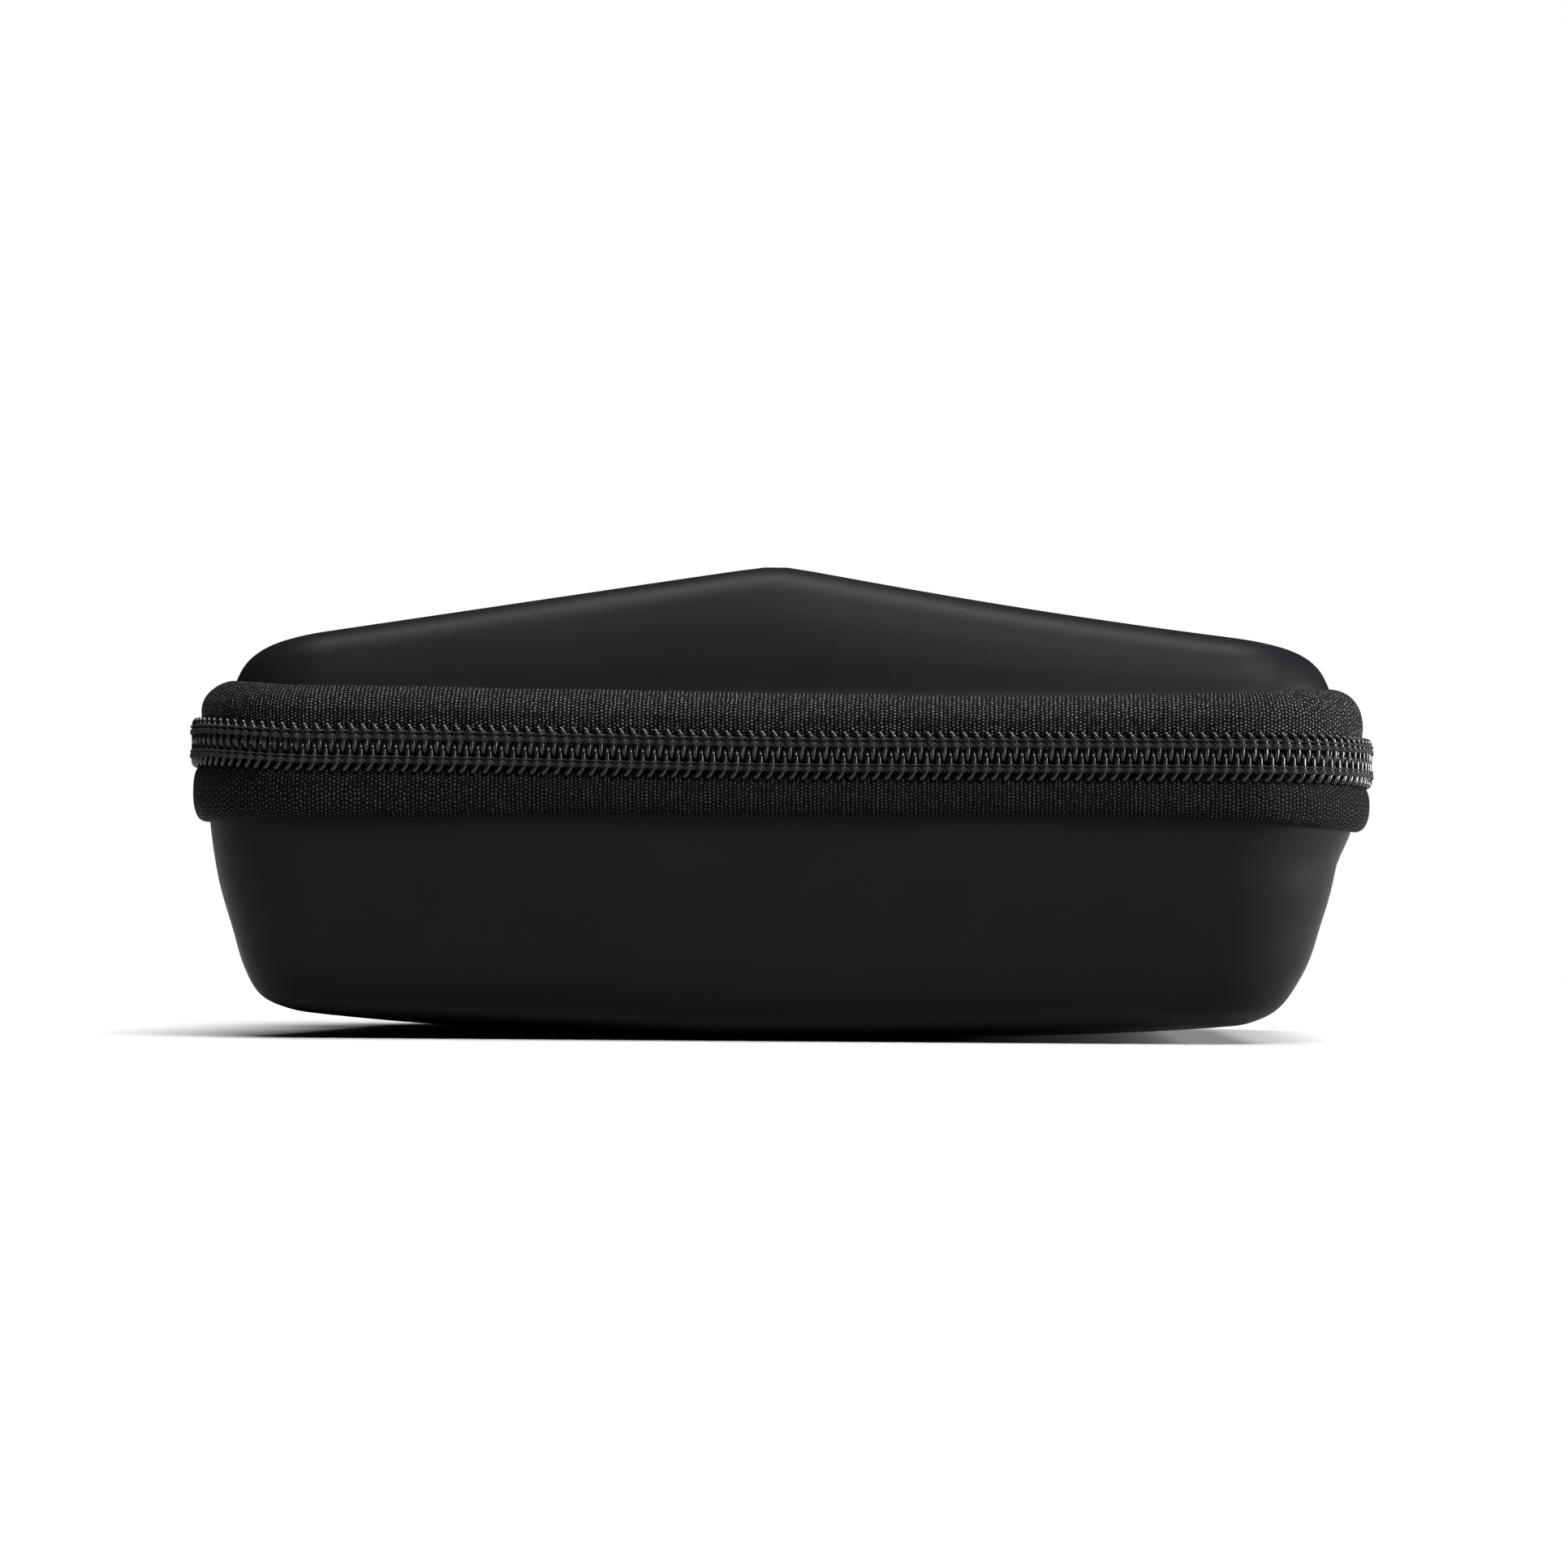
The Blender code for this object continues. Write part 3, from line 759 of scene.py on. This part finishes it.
def lid_surface(offset=0.0):
    """Outside of the lid, or a surface this far inside it."""
    profile = spline(LID_PROFILE, PER_SPAN)
    shares = profile[:, 1]

    def heights(ring, x, y):
        share = shares[ring]
        if share < 0:
            return np.full_like(x, LID_WALL_Z + share * LID_RIM_HEIGHT)
        return LID_WALL_Z + share * (roof(x, y) - LID_WALL_Z)

    sides = rings_of(profile[:, 0] * MM, heights)
    top = towards_middle(sides[-1], lambda share, x, y: roof(x, y))
    return inwards(np.concatenate([sides, top]), offset)


def tub_surface(offset=0.0):
    """Outside of the tub, or a surface this far inside it."""
    profile = spline(TUB_PROFILE, PER_SPAN)

    def heights(ring, x, y):
        return profile[ring, 1] * MM + profile[ring, 2] * underside(x)

    def floor_heights(share, x, y):
        rise = max(0.0, (share - FLAT_BOTTOM) / (1 - FLAT_BOTTOM)) ** 2
        return TUB_PROFILE[-1][1] * MM * rise + share * underside(x)

    sides = rings_of(profile[:, 0] * MM, heights)
    bottom = towards_middle(sides[-1], floor_heights)
    grid = np.concatenate([sides, bottom])
    z = grid[:, :, 2]
    tuck = RIGHT_TUCK * (1 - smoothstep(*TUCK_SPAN, z))
    tuck += RIGHT_CORNER_TUCK * (1 - smoothstep(*CORNER_TUCK_SPAN, z))
    grid[:, :, 0] -= tuck * smoothstep(0, HALF_WIDTH, grid[:, :, 0])
    return inwards(grid, offset)


def inwards(grid, distance):
    """The grid moved in along its own normals."""
    if not distance:
        return grid
    along = np.roll(grid, -1, axis=1) - np.roll(grid, 1, axis=1)
    down = np.gradient(grid, axis=0)
    normals = np.cross(along, down)
    lengths = np.linalg.norm(normals, axis=2, keepdims=True)
    normals = np.divide(normals, lengths, out=np.zeros_like(normals), where=lengths > NO_LENGTH)
    outward = np.einsum("ij,ij->i", normals[2, :, :2], grid[2, :, :2])
    if outward.mean() < 0:
        normals = -normals
    moved = grid - normals * distance
    moved[-1] = moved[-2].mean(axis=0)
    return moved


def shell_object(name, grid, thickness, up):
    """Closed wall behind a surface, whose innermost ring is drawn together into one point."""
    obj = grid_object(name, grid, columns_closed=True, flip=up)
    middle = obj.modifiers.new("middle", "WELD")
    middle.merge_threshold = 0.01 * MM
    wall = obj.modifiers.new("wall", "SOLIDIFY")
    wall.thickness = thickness
    wall.offset = -1
    return obj


def add_shells(materials):
    """Moulded skin and cloth lining of both halves."""
    for half, surface, up in (("lid", lid_surface, False), ("base", tub_surface, True)):
        body = "lid" if half == "lid" else "tub"
        skin = shell_object(f"{body}_skin", surface(), SHELL_WALL, up)
        finish_piece(skin, body, materials["skin"], "shell_skin", f"{half}_shell")
        lining = shell_object(f"{body}_cloth_lining", surface(SHELL_WALL + LINING_GAP), LINING_WALL, up)
        finish_piece(lining, body, materials["lining"], "lining_fabric", f"{half}_lining")


# ------ zip tapes

# Sections of the tapes: inset and height above the zip's middle, in mm, round from the coil's edge.
LID_TAPE_SECTION = (
    (2.6, 0.9), (2.35, 2.4), (2.0, 3.6), (1.65, 5.0), (1.7, 6.9),
    (2.5, 8.8), (4.1, 10.3), (5.7, 10.9), (6.0, 10.2), (5.2, 8.6),
    (4.6, 6.0), (3.9, 4.2), (3.1, 2.6), (3.0, 0.9),
)
TUB_TAPE_SECTION = (
    (2.6, -0.9), (2.35, -2.4), (1.5, -3.7), (0.65, -4.9), (0.35, -6.3),
    (0.5, -8.0), (1.3, -9.4), (2.6, -10.0), (3.15, -9.5), (3.1, -7.5),
    (3.1, -5.0), (3.0, -2.4), (3.0, -0.9),
)
TAPE_STEP = 1.2 * MM
TAPE_PER_SPAN = 5
EDGE_START = 0.35  # share of a tape's height where its outer edge starts to wander
EDGE_LIFT = 0.5  # how much the ripples move the edge up, for each bit that they move it out
SEED_STEP = 2  # between the ripples out and the ripples up


def tape_object(name, section, edge_shift, seed):
    """Strip of tape along the zip: edge_shift(s) moves its outer edge up or down."""
    outline = spline(section, TAPE_PER_SPAN, closed=True) * MM
    reach = np.abs(outline[:, 1]).max()
    s = np.linspace(0, ZIP_LENGTH, round(ZIP_LENGTH / TAPE_STEP))
    columns = []
    for inset, height in outline:
        share = smoothstep(EDGE_START * reach, reach, abs(height))
        out = -inset + share * ripple(s, seed)
        lift = EDGE_LIFT * share * ripple(s, seed + SEED_STEP)
        columns.append(place(s, height + share * edge_shift(s) + lift, out))
    return strip_object(name, np.stack(columns, axis=1), s, distances(outline))


def add_tapes(materials):
    """Woven tape of both halves."""
    lid = tape_object("lid_zip_band", LID_TAPE_SECTION, lid_edge_rise, seed=0.4)
    finish_piece(lid, "lid", materials["lid_tape"], "zip_fabric", "lid_zip_tape")
    tub = tape_object("tub_zip_band", TUB_TAPE_SECTION, tub_edge_rise, seed=1.9)
    finish_piece(tub, "tub", materials["tub_tape"], "zip_fabric", "base_zip_tape")


# ------ coils and their stitches

# One loop of the lid's coil, in mm: place along the zip, height, and depth behind the front of the coil.
LOOP = (
    (-1.0, 3.3, 1.7), (-0.95, 3.78, 1.15), (-0.72, 3.74, 0.62), (-0.38, 3.3, 0.46),
    (-0.07, 2.65, 0.45), (0.0, 1.5, 0.45), (0.0, 0.4, 0.45), (0.02, -0.35, 0.62),
    (0.05, -0.62, 1.12), (0.1, -0.35, 1.6), (0.3, 0.8, 1.75), (0.62, 2.1, 1.75),
)
LOOP_PER_SPAN = 2
FIRST_LOOP = 0.75  # from the zip's start, in pitches
HEAD_SPAN = (0.2 * MM, 1.2 * MM)  # heights between which a loop's head turns into its legs
TUB_HEAD_SHORTER = 0.05 * MM  # the tub's heads reach this much less far across the middle
TUB_OFFSET = 0.52 * PITCH

LID_ROWS = (2.8 * MM, 1.85 * MM)
TUB_ROWS = (1.5 * MM, 2.25 * MM)
POINTS_PER_STITCH = 10
THREAD_DEPTH = 0.3 * MM
CHAIN_PHASE = 0.6
# Threads over one coil: needle row, swing in height, phase, and swing in depth.
THREADS = (
    (0, 0.07 * MM, 0.0, 0.4 * MM),
    (1, 0.32 * MM, CHAIN_PHASE, 0.42 * MM),
    (1, 0.32 * MM, CHAIN_PHASE + math.pi, 0.42 * MM),
    (1, 0.1 * MM, CHAIN_PHASE, 0.36 * MM),
)


def coil_path(side, offset):
    """Centre line of one coil; side is 1 for the lid and -1 for the tub."""
    loops = int(ZIP_LENGTH / PITCH) - 1
    starts = (np.arange(loops) + FIRST_LOOP) * PITCH + offset
    loop = np.array(LOOP) * MM
    if side < 0:
        loop[:, 1] += TUB_HEAD_SHORTER * (1 - smoothstep(*HEAD_SPAN, loop[:, 1]))
    points = (starts[:, None, None] * (1, 0, 0) + loop[None]).reshape(-1, 3)
    fine = spline(points, LOOP_PER_SPAN)
    return place(fine[:, 0], side * (fine[:, 1] + parting(fine[:, 0])), -fine[:, 2])


def stitch_path(side, offset, row, height_swing, phase, depth_swing):
    """Sewing thread that crosses over each loop and dips between them."""
    s = np.arange(0.5 * PITCH, ZIP_LENGTH - 0.5 * PITCH, PITCH / POINTS_PER_STITCH)
    turn = 2 * math.pi * (s - offset - FIRST_LOOP * PITCH) / PITCH
    n = depth_swing * np.cos(turn) - THREAD_DEPTH
    v = side * (row + parting(s)) + height_swing * np.sin(turn + phase)
    return place(s, v, n)


def stitch_rows(side, offset):
    """Two needle rows over one coil: a straight thread, and a chain of three plies."""
    rows = LID_ROWS if side > 0 else TUB_ROWS
    return [stitch_path(side, offset, rows[row], *swings) for row, *swings in THREADS]


def add_coils(materials):
    """Coil of both halves, and the threads that sew it to the tape."""
    for body, side, offset, node_name in (
        ("lid", 1, 0.0, "lid_zip_coil"),
        ("tub", -1, TUB_OFFSET, "base_zip_coil"),
    ):
        coil = tube_object(f"{body}_coil", [coil_path(side, offset)], STRAND_RADIUS, sides=8)
        finish_piece(coil, body, materials["nylon"], "coil_nylon", node_name)
        rows = stitch_rows(side, offset)
        threads = tube_object(f"{body}_coil_stitches", rows, THREAD_RADIUS, sides=6)
        finish_piece(threads, body, materials["thread"], "zip_fabric")


# ------ bindings, hinge and pocket

# Rounded sections, in mm: inset from the zip line and height.
TUB_BINDING_SECTION = (
    (4.1, 43.75), (5.6, 44.15), (7.6, 44.15), (8.5, 43.4), (8.55, 41.0),
    (8.35, 37.6), (8.1, 37.2), (7.9, 38.2), (7.8, 41.0), (7.5, 43.1),
    (6.0, 43.35),
)
LID_BINDING_SECTION = (
    (5.2, 53.1), (6.4, 52.85), (8.6, 52.85), (10.1, 53.1), (10.45, 54.2),
    (10.3, 56.0), (10.0, 55.9), (9.85, 54.6), (9.5, 53.75), (7.0, 53.6),
)
POCKET_TAPE_SECTION = (
    (11.3, 57.3), (12.2, 57.05), (13.2, 57.12), (14.2, 57.05), (15.1, 57.3),
    (14.2, 57.65), (13.2, 57.6), (12.2, 57.65),
)
HINGE_SECTION = (
    (2.1, 34.6), (1.15, 42.0), (0.55, 48.4), (1.2, 54.5), (4.4, 60.6),
    (4.9, 60.2), (1.75, 54.2), (1.05, 48.4), (1.65, 42.0), (2.9, 34.6),
)
HINGE_HALF_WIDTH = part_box("hinge_panel")[1].x + 1.2 * MM  # close up to the ends of the tapes
POCKET_LOW, POCKET_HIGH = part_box("mesh_pocket")
ELASTIC_LOW, ELASTIC_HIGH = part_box("pocket_elastic")
POCKET_INSET = HALF_WIDTH - POCKET_HIGH.x
POCKET_CORNER = FRONT_RADIUS - POCKET_INSET
STRIP_PER_SPAN = 4
STITCH_LENGTH = 3 * MM
HINGE_STATIONS = 80
POCKET_STATIONS = 900


def swept_section(name, section, points, normals, closed, puckers):
    """Sewn strip round a path: puckers is how far its surface dips between stitches."""
    outline = spline(section, STRIP_PER_SPAN, closed=True) * MM
    run = distances(points)
    dips = puckers * np.sin(2 * math.pi * run / STITCH_LENGTH)
    columns = []
    for inset, z in outline:
        flat = points - normals * (inset + dips)[:, None]
        columns.append(np.column_stack([flat, np.full(len(flat), z)]))
    return strip_object(name, np.stack(columns, axis=1), run, distances(outline), closed)


def add_bindings(materials):
    """Binding round the inner edge of both halves."""
    points, normals = walk(closed_stations(straight_step=1.5 * MM, turn_steps=30), 0)
    tub = swept_section("tub_binding", TUB_BINDING_SECTION, points, normals, True, puckers=0.05 * MM)
    finish_piece(tub, "tub", materials["ribbon"], "zip_fabric", "base_seam_binding")
    lid = swept_section("lid_binding", LID_BINDING_SECTION, points, normals, True, puckers=0.04 * MM)
    finish_piece(lid, "lid", materials["ribbon"], "zip_fabric", "lid_seam_binding")


def add_hinge(materials):
    """Fabric panel behind the case, between the tub and the lid."""
    x = np.linspace(HINGE_HALF_WIDTH, -HINGE_HALF_WIDTH, HINGE_STATIONS)
    points = np.column_stack([x, np.full(len(x), HALF_DEPTH)])
    normals = np.tile((0.0, 1.0), (len(x), 1))
    panel = swept_section("hinge_fabric", HINGE_SECTION, points, normals, False, puckers=0.03 * MM)
    panel.data.materials.append(materials["hinge"])
    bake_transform(panel)
    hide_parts("hinge_panel")


def pocket_edge():
    """Points and outward normals of the pocket's sewn edge, from one end of the elastic to the other."""
    stations = np.linspace(0, ZIP_LENGTH, POCKET_STATIONS)
    points, normals = walk(stations, ZIP_END_X)
    inner = points - normals * POCKET_INSET
    kept = inner[:, 1] < POCKET_HIGH.y
    return points[kept], normals[kept]


NET_ROWS = 60
NET_COLUMNS = 100
NET_SLACK = 0.15 * MM
GATHER_HEIGHT = 0.09 * MM
GATHER_TURNS = 95  # radians of gathers from the middle to one side


def pocket_net():
    """Net across the front of the lid, a little slack in the middle and gathered at the elastic."""
    y = np.linspace(POCKET_LOW.y, POCKET_HIGH.y, NET_ROWS)
    near_front = np.clip(POCKET_LOW.y + POCKET_CORNER - y, 0, POCKET_CORNER)
    reach = POCKET_HIGH.x - POCKET_CORNER + np.sqrt(POCKET_CORNER**2 - near_front**2)
    across = np.linspace(-1, 1, NET_COLUMNS)
    back = np.linspace(0, 1, NET_ROWS)[:, None]
    slack = NET_SLACK * back * (1 - across**2)
    gathers = GATHER_HEIGHT * np.sin(across * GATHER_TURNS) * back**2
    grid = np.zeros((NET_ROWS, NET_COLUMNS, 3))
    grid[:, :, 0] = reach[:, None] * across
    grid[:, :, 1] = y[:, None]
    grid[:, :, 2] = (POCKET_LOW.z + POCKET_HIGH.z) / 2 + slack + gathers
    return grid_object("pocket_net", grid, uv=grid[:, :, :2])


def add_pocket(materials):
    """Net stretched across the front of the lid, its sewn tape, and its gathered elastic hem."""
    net = pocket_net()
    finish_piece(net, "lid", materials["net"], "net", "mesh_pocket")
    points, normals = pocket_edge()
    tape = swept_section("pocket_tape", POCKET_TAPE_SECTION, points, normals, False, puckers=0.05 * MM)
    finish_piece(tape, "lid", materials["ribbon"], "zip_fabric", "pocket_seam_tape")
    elastic = elastic_hem()
    finish_piece(elastic, "lid", materials["ribbon"], "zip_fabric", "pocket_elastic")


def soften(wave, power):
    """Sine or cosine made squarer, for a section with soft corners."""
    return np.sign(wave) * np.abs(wave) ** power


ELASTIC_STATIONS = 420
ELASTIC_SIDES = 24
ELASTIC_POWERS = (0.55, 0.8)  # how square its section is across and upright
PUCKER_DEPTH = 0.16  # share of the thickness
PUCKER_NARROWING = 0.02  # how much of a pucker's depth also narrows the hem
PUCKER_STEP = 0.42 * MM  # for each radian
PUCKER_WANDER = 1.5
WANDER_STEP = 5 * MM


def elastic_hem():
    """Flat elastic in a hem of net, gathered into small puckers along its length."""
    x = np.linspace(ELASTIC_LOW.x, ELASTIC_HIGH.x, ELASTIC_STATIONS)
    centre = (ELASTIC_LOW + ELASTIC_HIGH) / 2
    half = (ELASTIC_HIGH - ELASTIC_LOW) / 2
    angle = 2 * math.pi * np.arange(ELASTIC_SIDES) / ELASTIC_SIDES
    wander = PUCKER_WANDER * np.sin(x / WANDER_STEP)
    dip = PUCKER_DEPTH * (0.5 + 0.5 * np.sin(x / PUCKER_STEP + wander))
    narrow = PUCKER_NARROWING * dip
    grid = np.zeros((ELASTIC_STATIONS, ELASTIC_SIDES, 3))
    grid[:, :, 0] = x[:, None]
    grid[:, :, 1] = centre.y + half.y * soften(np.cos(angle), ELASTIC_POWERS[0]) * (1 - narrow)[:, None]
    grid[:, :, 2] = centre.z + half.z * soften(np.sin(angle), ELASTIC_POWERS[1]) * (1 - dip)[:, None]
    return strip_object("pocket_elastic_hem", grid, x, angle * MM, flip=True)


# ------ divider and its patches

SIM_FRAMES = 20
PAD_VOXEL = 3 * MM
PAD_SHRINK = 1.6 * MM  # room left for the foam to swell into
PAD_POWER = 0.32  # the smaller, the squarer a block is
PATCH_POWER = 0.12


def rounded_block(name, low, high, power, steps):
    """Block with soft edges, from a superellipsoid."""
    u = np.linspace(-math.pi / 2, math.pi / 2, steps)
    v = np.linspace(0, 2 * math.pi, 2 * steps, endpoint=False)
    centre = (np.array(low) + np.array(high)) / 2
    half = (np.array(high) - np.array(low)) / 2
    grid = np.zeros((len(u), len(v), 3))
    grid[:, :, 0] = soften(np.cos(u), power)[:, None] * soften(np.cos(v), power)
    grid[:, :, 1] = soften(np.cos(u), power)[:, None] * soften(np.sin(v), power)
    grid[:, :, 2] = soften(np.sin(u), power)[:, None]
    return grid_object(name, centre + half * grid, columns_closed=True)


def apply_modifiers(obj):
    """Make the object's evaluated mesh its own."""
    graph = bpy.context.evaluated_depsgraph_get()
    mesh = bpy.data.meshes.new_from_object(obj.evaluated_get(graph))
    obj.modifiers.clear()
    obj.data = mesh


def inflate(obj, low, high):
    """Swell a pad as cloth under pressure, and keep it inside its box."""
    remesh = obj.modifiers.new("remesh", "REMESH")
    remesh.mode = "VOXEL"
    remesh.voxel_size = PAD_VOXEL
    apply_modifiers(obj)
    cloth = obj.modifiers.new("cloth", "CLOTH")
    cloth.settings.use_pressure = True
    cloth.settings.uniform_pressure_force = 4
    cloth.settings.effector_weights.gravity = 0
    cloth.settings.tension_stiffness = 40
    cloth.point_cache.frame_end = SIM_FRAMES
    for step in range(1, SIM_FRAMES + 1):
        bpy.context.scene.frame_set(step)
    apply_modifiers(obj)
    bpy.context.scene.frame_set(1)
    points = np.empty(len(obj.data.vertices) * 3, np.float32)
    obj.data.vertices.foreach_get("co", points)
    points = points.reshape(-1, 3)
    reached_low, reached_high = points.min(axis=0), points.max(axis=0)
    share = (points - reached_low) / (reached_high - reached_low)
    points = np.array(low) + share * (np.array(high) - np.array(low))
    obj.data.vertices.foreach_set("co", points.astype(np.float32).ravel())
    smooth = obj.modifiers.new("smooth", "SUBSURF")
    smooth.levels = smooth.render_levels = 1
    apply_modifiers(obj)
    obj.data.shade_smooth()


def add_divider(materials):
    """Foam block in brushed cloth, on its hook and loop patches."""
    low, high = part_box("foam_divider")
    shrink = Vector.Fill(3, PAD_SHRINK)
    pad = rounded_block("divider_pad", low + shrink, high - shrink, PAD_POWER, steps=26)
    inflate(pad, low, high)
    finish_piece(pad, "tub", materials["divider"], "lining_fabric", "foam_divider")
    for kind in ("loop", "hook"):
        node_name = f"divider_{kind}_patch"
        patch_low, patch_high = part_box(node_name)
        patch = rounded_block(f"{kind}_patch", patch_low, patch_high, PATCH_POWER, steps=18)
        finish_piece(patch, "tub", materials[kind], "hook_and_loop", node_name)


# ------ slider and pull

TAB_LOW, TAB_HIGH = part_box("pull_tab")
GRIP_RIBS = 7
GRIP_PITCH = 1.7 * MM
FIRST_RIB = 2.6 * MM  # above the bottom of the tab
RIB_MARGIN = 1.3 * MM
RIB_HALF_HEIGHT = 0.4 * MM
RIB_RELIEF = 0.25 * MM
RIB_POWER = 0.4
# CAD pieces that only get soft edges: name, material, and width of the edge.
HARDWARE = (
    ("slider_body", "metal", 0.25 * MM),
    ("slider_bridge", "metal", 0.1 * MM),
    ("pull_ring", "metal", 0.05 * MM),
    ("pull_tab", "rubber", 0.25 * MM),
)


def add_hardware(materials):
    """The CAD slider, bridge, ring and tab with soft edges, and moulded ribs on the tab."""
    for name, material, width in HARDWARE:
        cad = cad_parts[name]
        cad.data.materials.clear()
        cad.data.materials.append(materials[material])
        bevel = cad.modifiers.new("soft_edges", "BEVEL")
        bevel.width = width
        bevel.segments = 3
        bevel.limit_method = "ANGLE"
    centre_y = (TAB_LOW.y + TAB_HIGH.y) / 2
    half_y = (TAB_HIGH.y - TAB_LOW.y) / 2 - RIB_MARGIN
    for number in range(GRIP_RIBS):
        z = TAB_LOW.z + FIRST_RIB + number * GRIP_PITCH
        low = (TAB_LOW.x - RIB_RELIEF, centre_y - half_y, z - RIB_HALF_HEIGHT)
        high = (TAB_HIGH.x + RIB_RELIEF, centre_y + half_y, z + RIB_HALF_HEIGHT)
        rib = rounded_block(f"tab_rib_{number + 1}", low, high, RIB_POWER, steps=12)
        finish_piece(rib, "tab", materials["rubber"], "tab_rubber")


# ------ stage, lights and camera

# The photograph's view: a long lens, low down, a little to the right.
CAMERA_AZIMUTH = math.radians(3.5)
CAMERA_DISTANCE = 680 * MM
CAMERA_Z = 13 * MM
TARGET_X = 2.65 * MM
TARGET_Z = 43.6 * MM
CAMERA_ROLL = math.radians(0.36)
LENS_MM = 92.8
SENSOR_MM = 36

FLOOR_HALF_WIDTH = 3.0  # metres
FLOOR_STEPS = 9
FILL_COLOUR = (0.96, 0.97, 1, 1)
FILL_STRENGTH = 0.015

# Softboxes: name, place, the point that it faces, size in metres, and power in watts.
LIGHTS = (
    ("top_softbox", (0.0, -0.05, 1.0), (0, 0, 0), (0.8, 0.3), 22),
    ("front_softbox", (0.45, -0.8, 0.86), (0, -0.05, 0.05), (1.2, 0.36), 36),
    ("right_key", (0.95, -0.1, 0.17), (0.05, -0.05, 0.03), (0.4, 0.26), 25),
)


def add_camera():
    """Camera that takes the photograph's view."""
    data = bpy.data.cameras.new("photo_camera")
    data.lens = LENS_MM
    data.sensor_width = SENSOR_MM
    data.clip_start = 10 * MM
    camera = bpy.data.objects.new("photo_camera", data)
    bpy.context.scene.collection.objects.link(camera)
    front = Vector((TARGET_X, -HALF_DEPTH, 0))
    away = Vector((math.sin(CAMERA_AZIMUTH), -math.cos(CAMERA_AZIMUTH), 0)) * CAMERA_DISTANCE
    camera.location = front + away + Vector((0, 0, CAMERA_Z))
    target = front + Vector((0, 0, TARGET_Z))
    camera.rotation_euler = (target - camera.location).to_track_quat("-Z", "Y").to_euler()
    camera.rotation_euler.rotate_axis("Z", CAMERA_ROLL)
    bpy.context.scene.camera = camera


def add_area(name, location, target, size, power):
    """Rectangular light that faces the target."""
    data = bpy.data.lights.new(name, "AREA")
    data.shape = "RECTANGLE"
    data.size, data.size_y = size
    data.energy = power
    light = bpy.data.objects.new(name, data)
    light.location = location
    light.rotation_euler = (Vector(target) - light.location).to_track_quat("-Z", "Y").to_euler()
    bpy.context.scene.collection.objects.link(light)


def add_world():
    """White behind the object, and a dark studio everywhere else."""
    world = bpy.data.worlds.new("studio")
    bpy.context.scene.world = world
    world.use_nodes = True
    tree = world.node_tree
    tree.nodes.clear()
    seen = node(tree, "Background", {"Color": (1, 1, 1, 1), "Strength": 1.0})
    fill = node(tree, "Background", {"Color": FILL_COLOUR, "Strength": FILL_STRENGTH})
    camera_ray = node(tree, "LightPath").outputs["Is Camera Ray"]
    mixed = node(tree, "MixShader", {0: camera_ray, 1: fill.outputs[0], 2: seen.outputs[0]})
    out = node(tree, "OutputWorld")
    tree.links.new(mixed.outputs[0], out.inputs["Surface"])


def add_stage():
    """White table, a softbox overhead, another high in front, and a low key light from the right."""
    x = np.linspace(-FLOOR_HALF_WIDTH, FLOOR_HALF_WIDTH, FLOOR_STEPS)
    level = np.zeros((FLOOR_STEPS, FLOOR_STEPS))
    grid = np.stack([*np.meshgrid(x, x, indexing="ij"), level], axis=-1)
    floor = grid_object("studio_floor", grid)
    floor.data.materials.append(floor_material())
    for light in LIGHTS:
        add_area(*light)
    bpy.context.scene.view_settings.view_transform = "Standard"


# Woven tapes: name, colour between the knots (black yarn, deepened as painted shade), painted highlight
# colour of the knot tops, and specular. The tub's knot highlight is dimmer, as painted shade on the lower
# tape.
WEAVES = {
    "lid_tape": ("lid_tape_weave", (0.0006, 0.0006, 0.0008), (0.1, 0.098, 0.1), 0.04),
    "tub_tape": ("tub_tape_weave", (0.0006, 0.0006, 0.0008), (0.038, 0.037, 0.041), 0.03),
    "hinge": ("hinge_weave", (0.003, 0.003, 0.0033), (0.05, 0.05, 0.052), 0.2),
}
# Brushed cloths: name, dark and light colour, and scale of the nap.
BRUSHED = {
    "lining": ("brushed_lining", (0.018, 0.018, 0.02), (0.055, 0.055, 0.06), 1500),
    "divider": ("divider_cloth", (0.014, 0.014, 0.015), (0.045, 0.045, 0.048), 1700),
    "loop": ("loop_tape", (0.006, 0.006, 0.006), (0.04, 0.04, 0.041), 3000),
}


def make_materials():
    """Every material but the floor's, by its part in the case."""
    materials = {
        "skin": skin_material(),
        "nylon": nylon_material(),
        "thread": thread_material(),
        "hook": hook_material(),
        "ribbon": ribbon_material(),
        "net": net_material(),
        "metal": metal_material(),
        "rubber": rubber_material(),
    }
    for part, looks in WEAVES.items():
        materials[part] = weave_material(*looks)
    for part, looks in BRUSHED.items():
        materials[part] = brushed_material(*looks)
    return materials


def main():
    """Every piece of the case, with its looks, and the studio round it."""
    materials = make_materials()
    add_shells(materials)
    add_tapes(materials)
    add_coils(materials)
    add_bindings(materials)
    add_hinge(materials)
    add_pocket(materials)
    add_divider(materials)
    add_hardware(materials)
    add_camera()
    add_world()
    add_stage()


main()
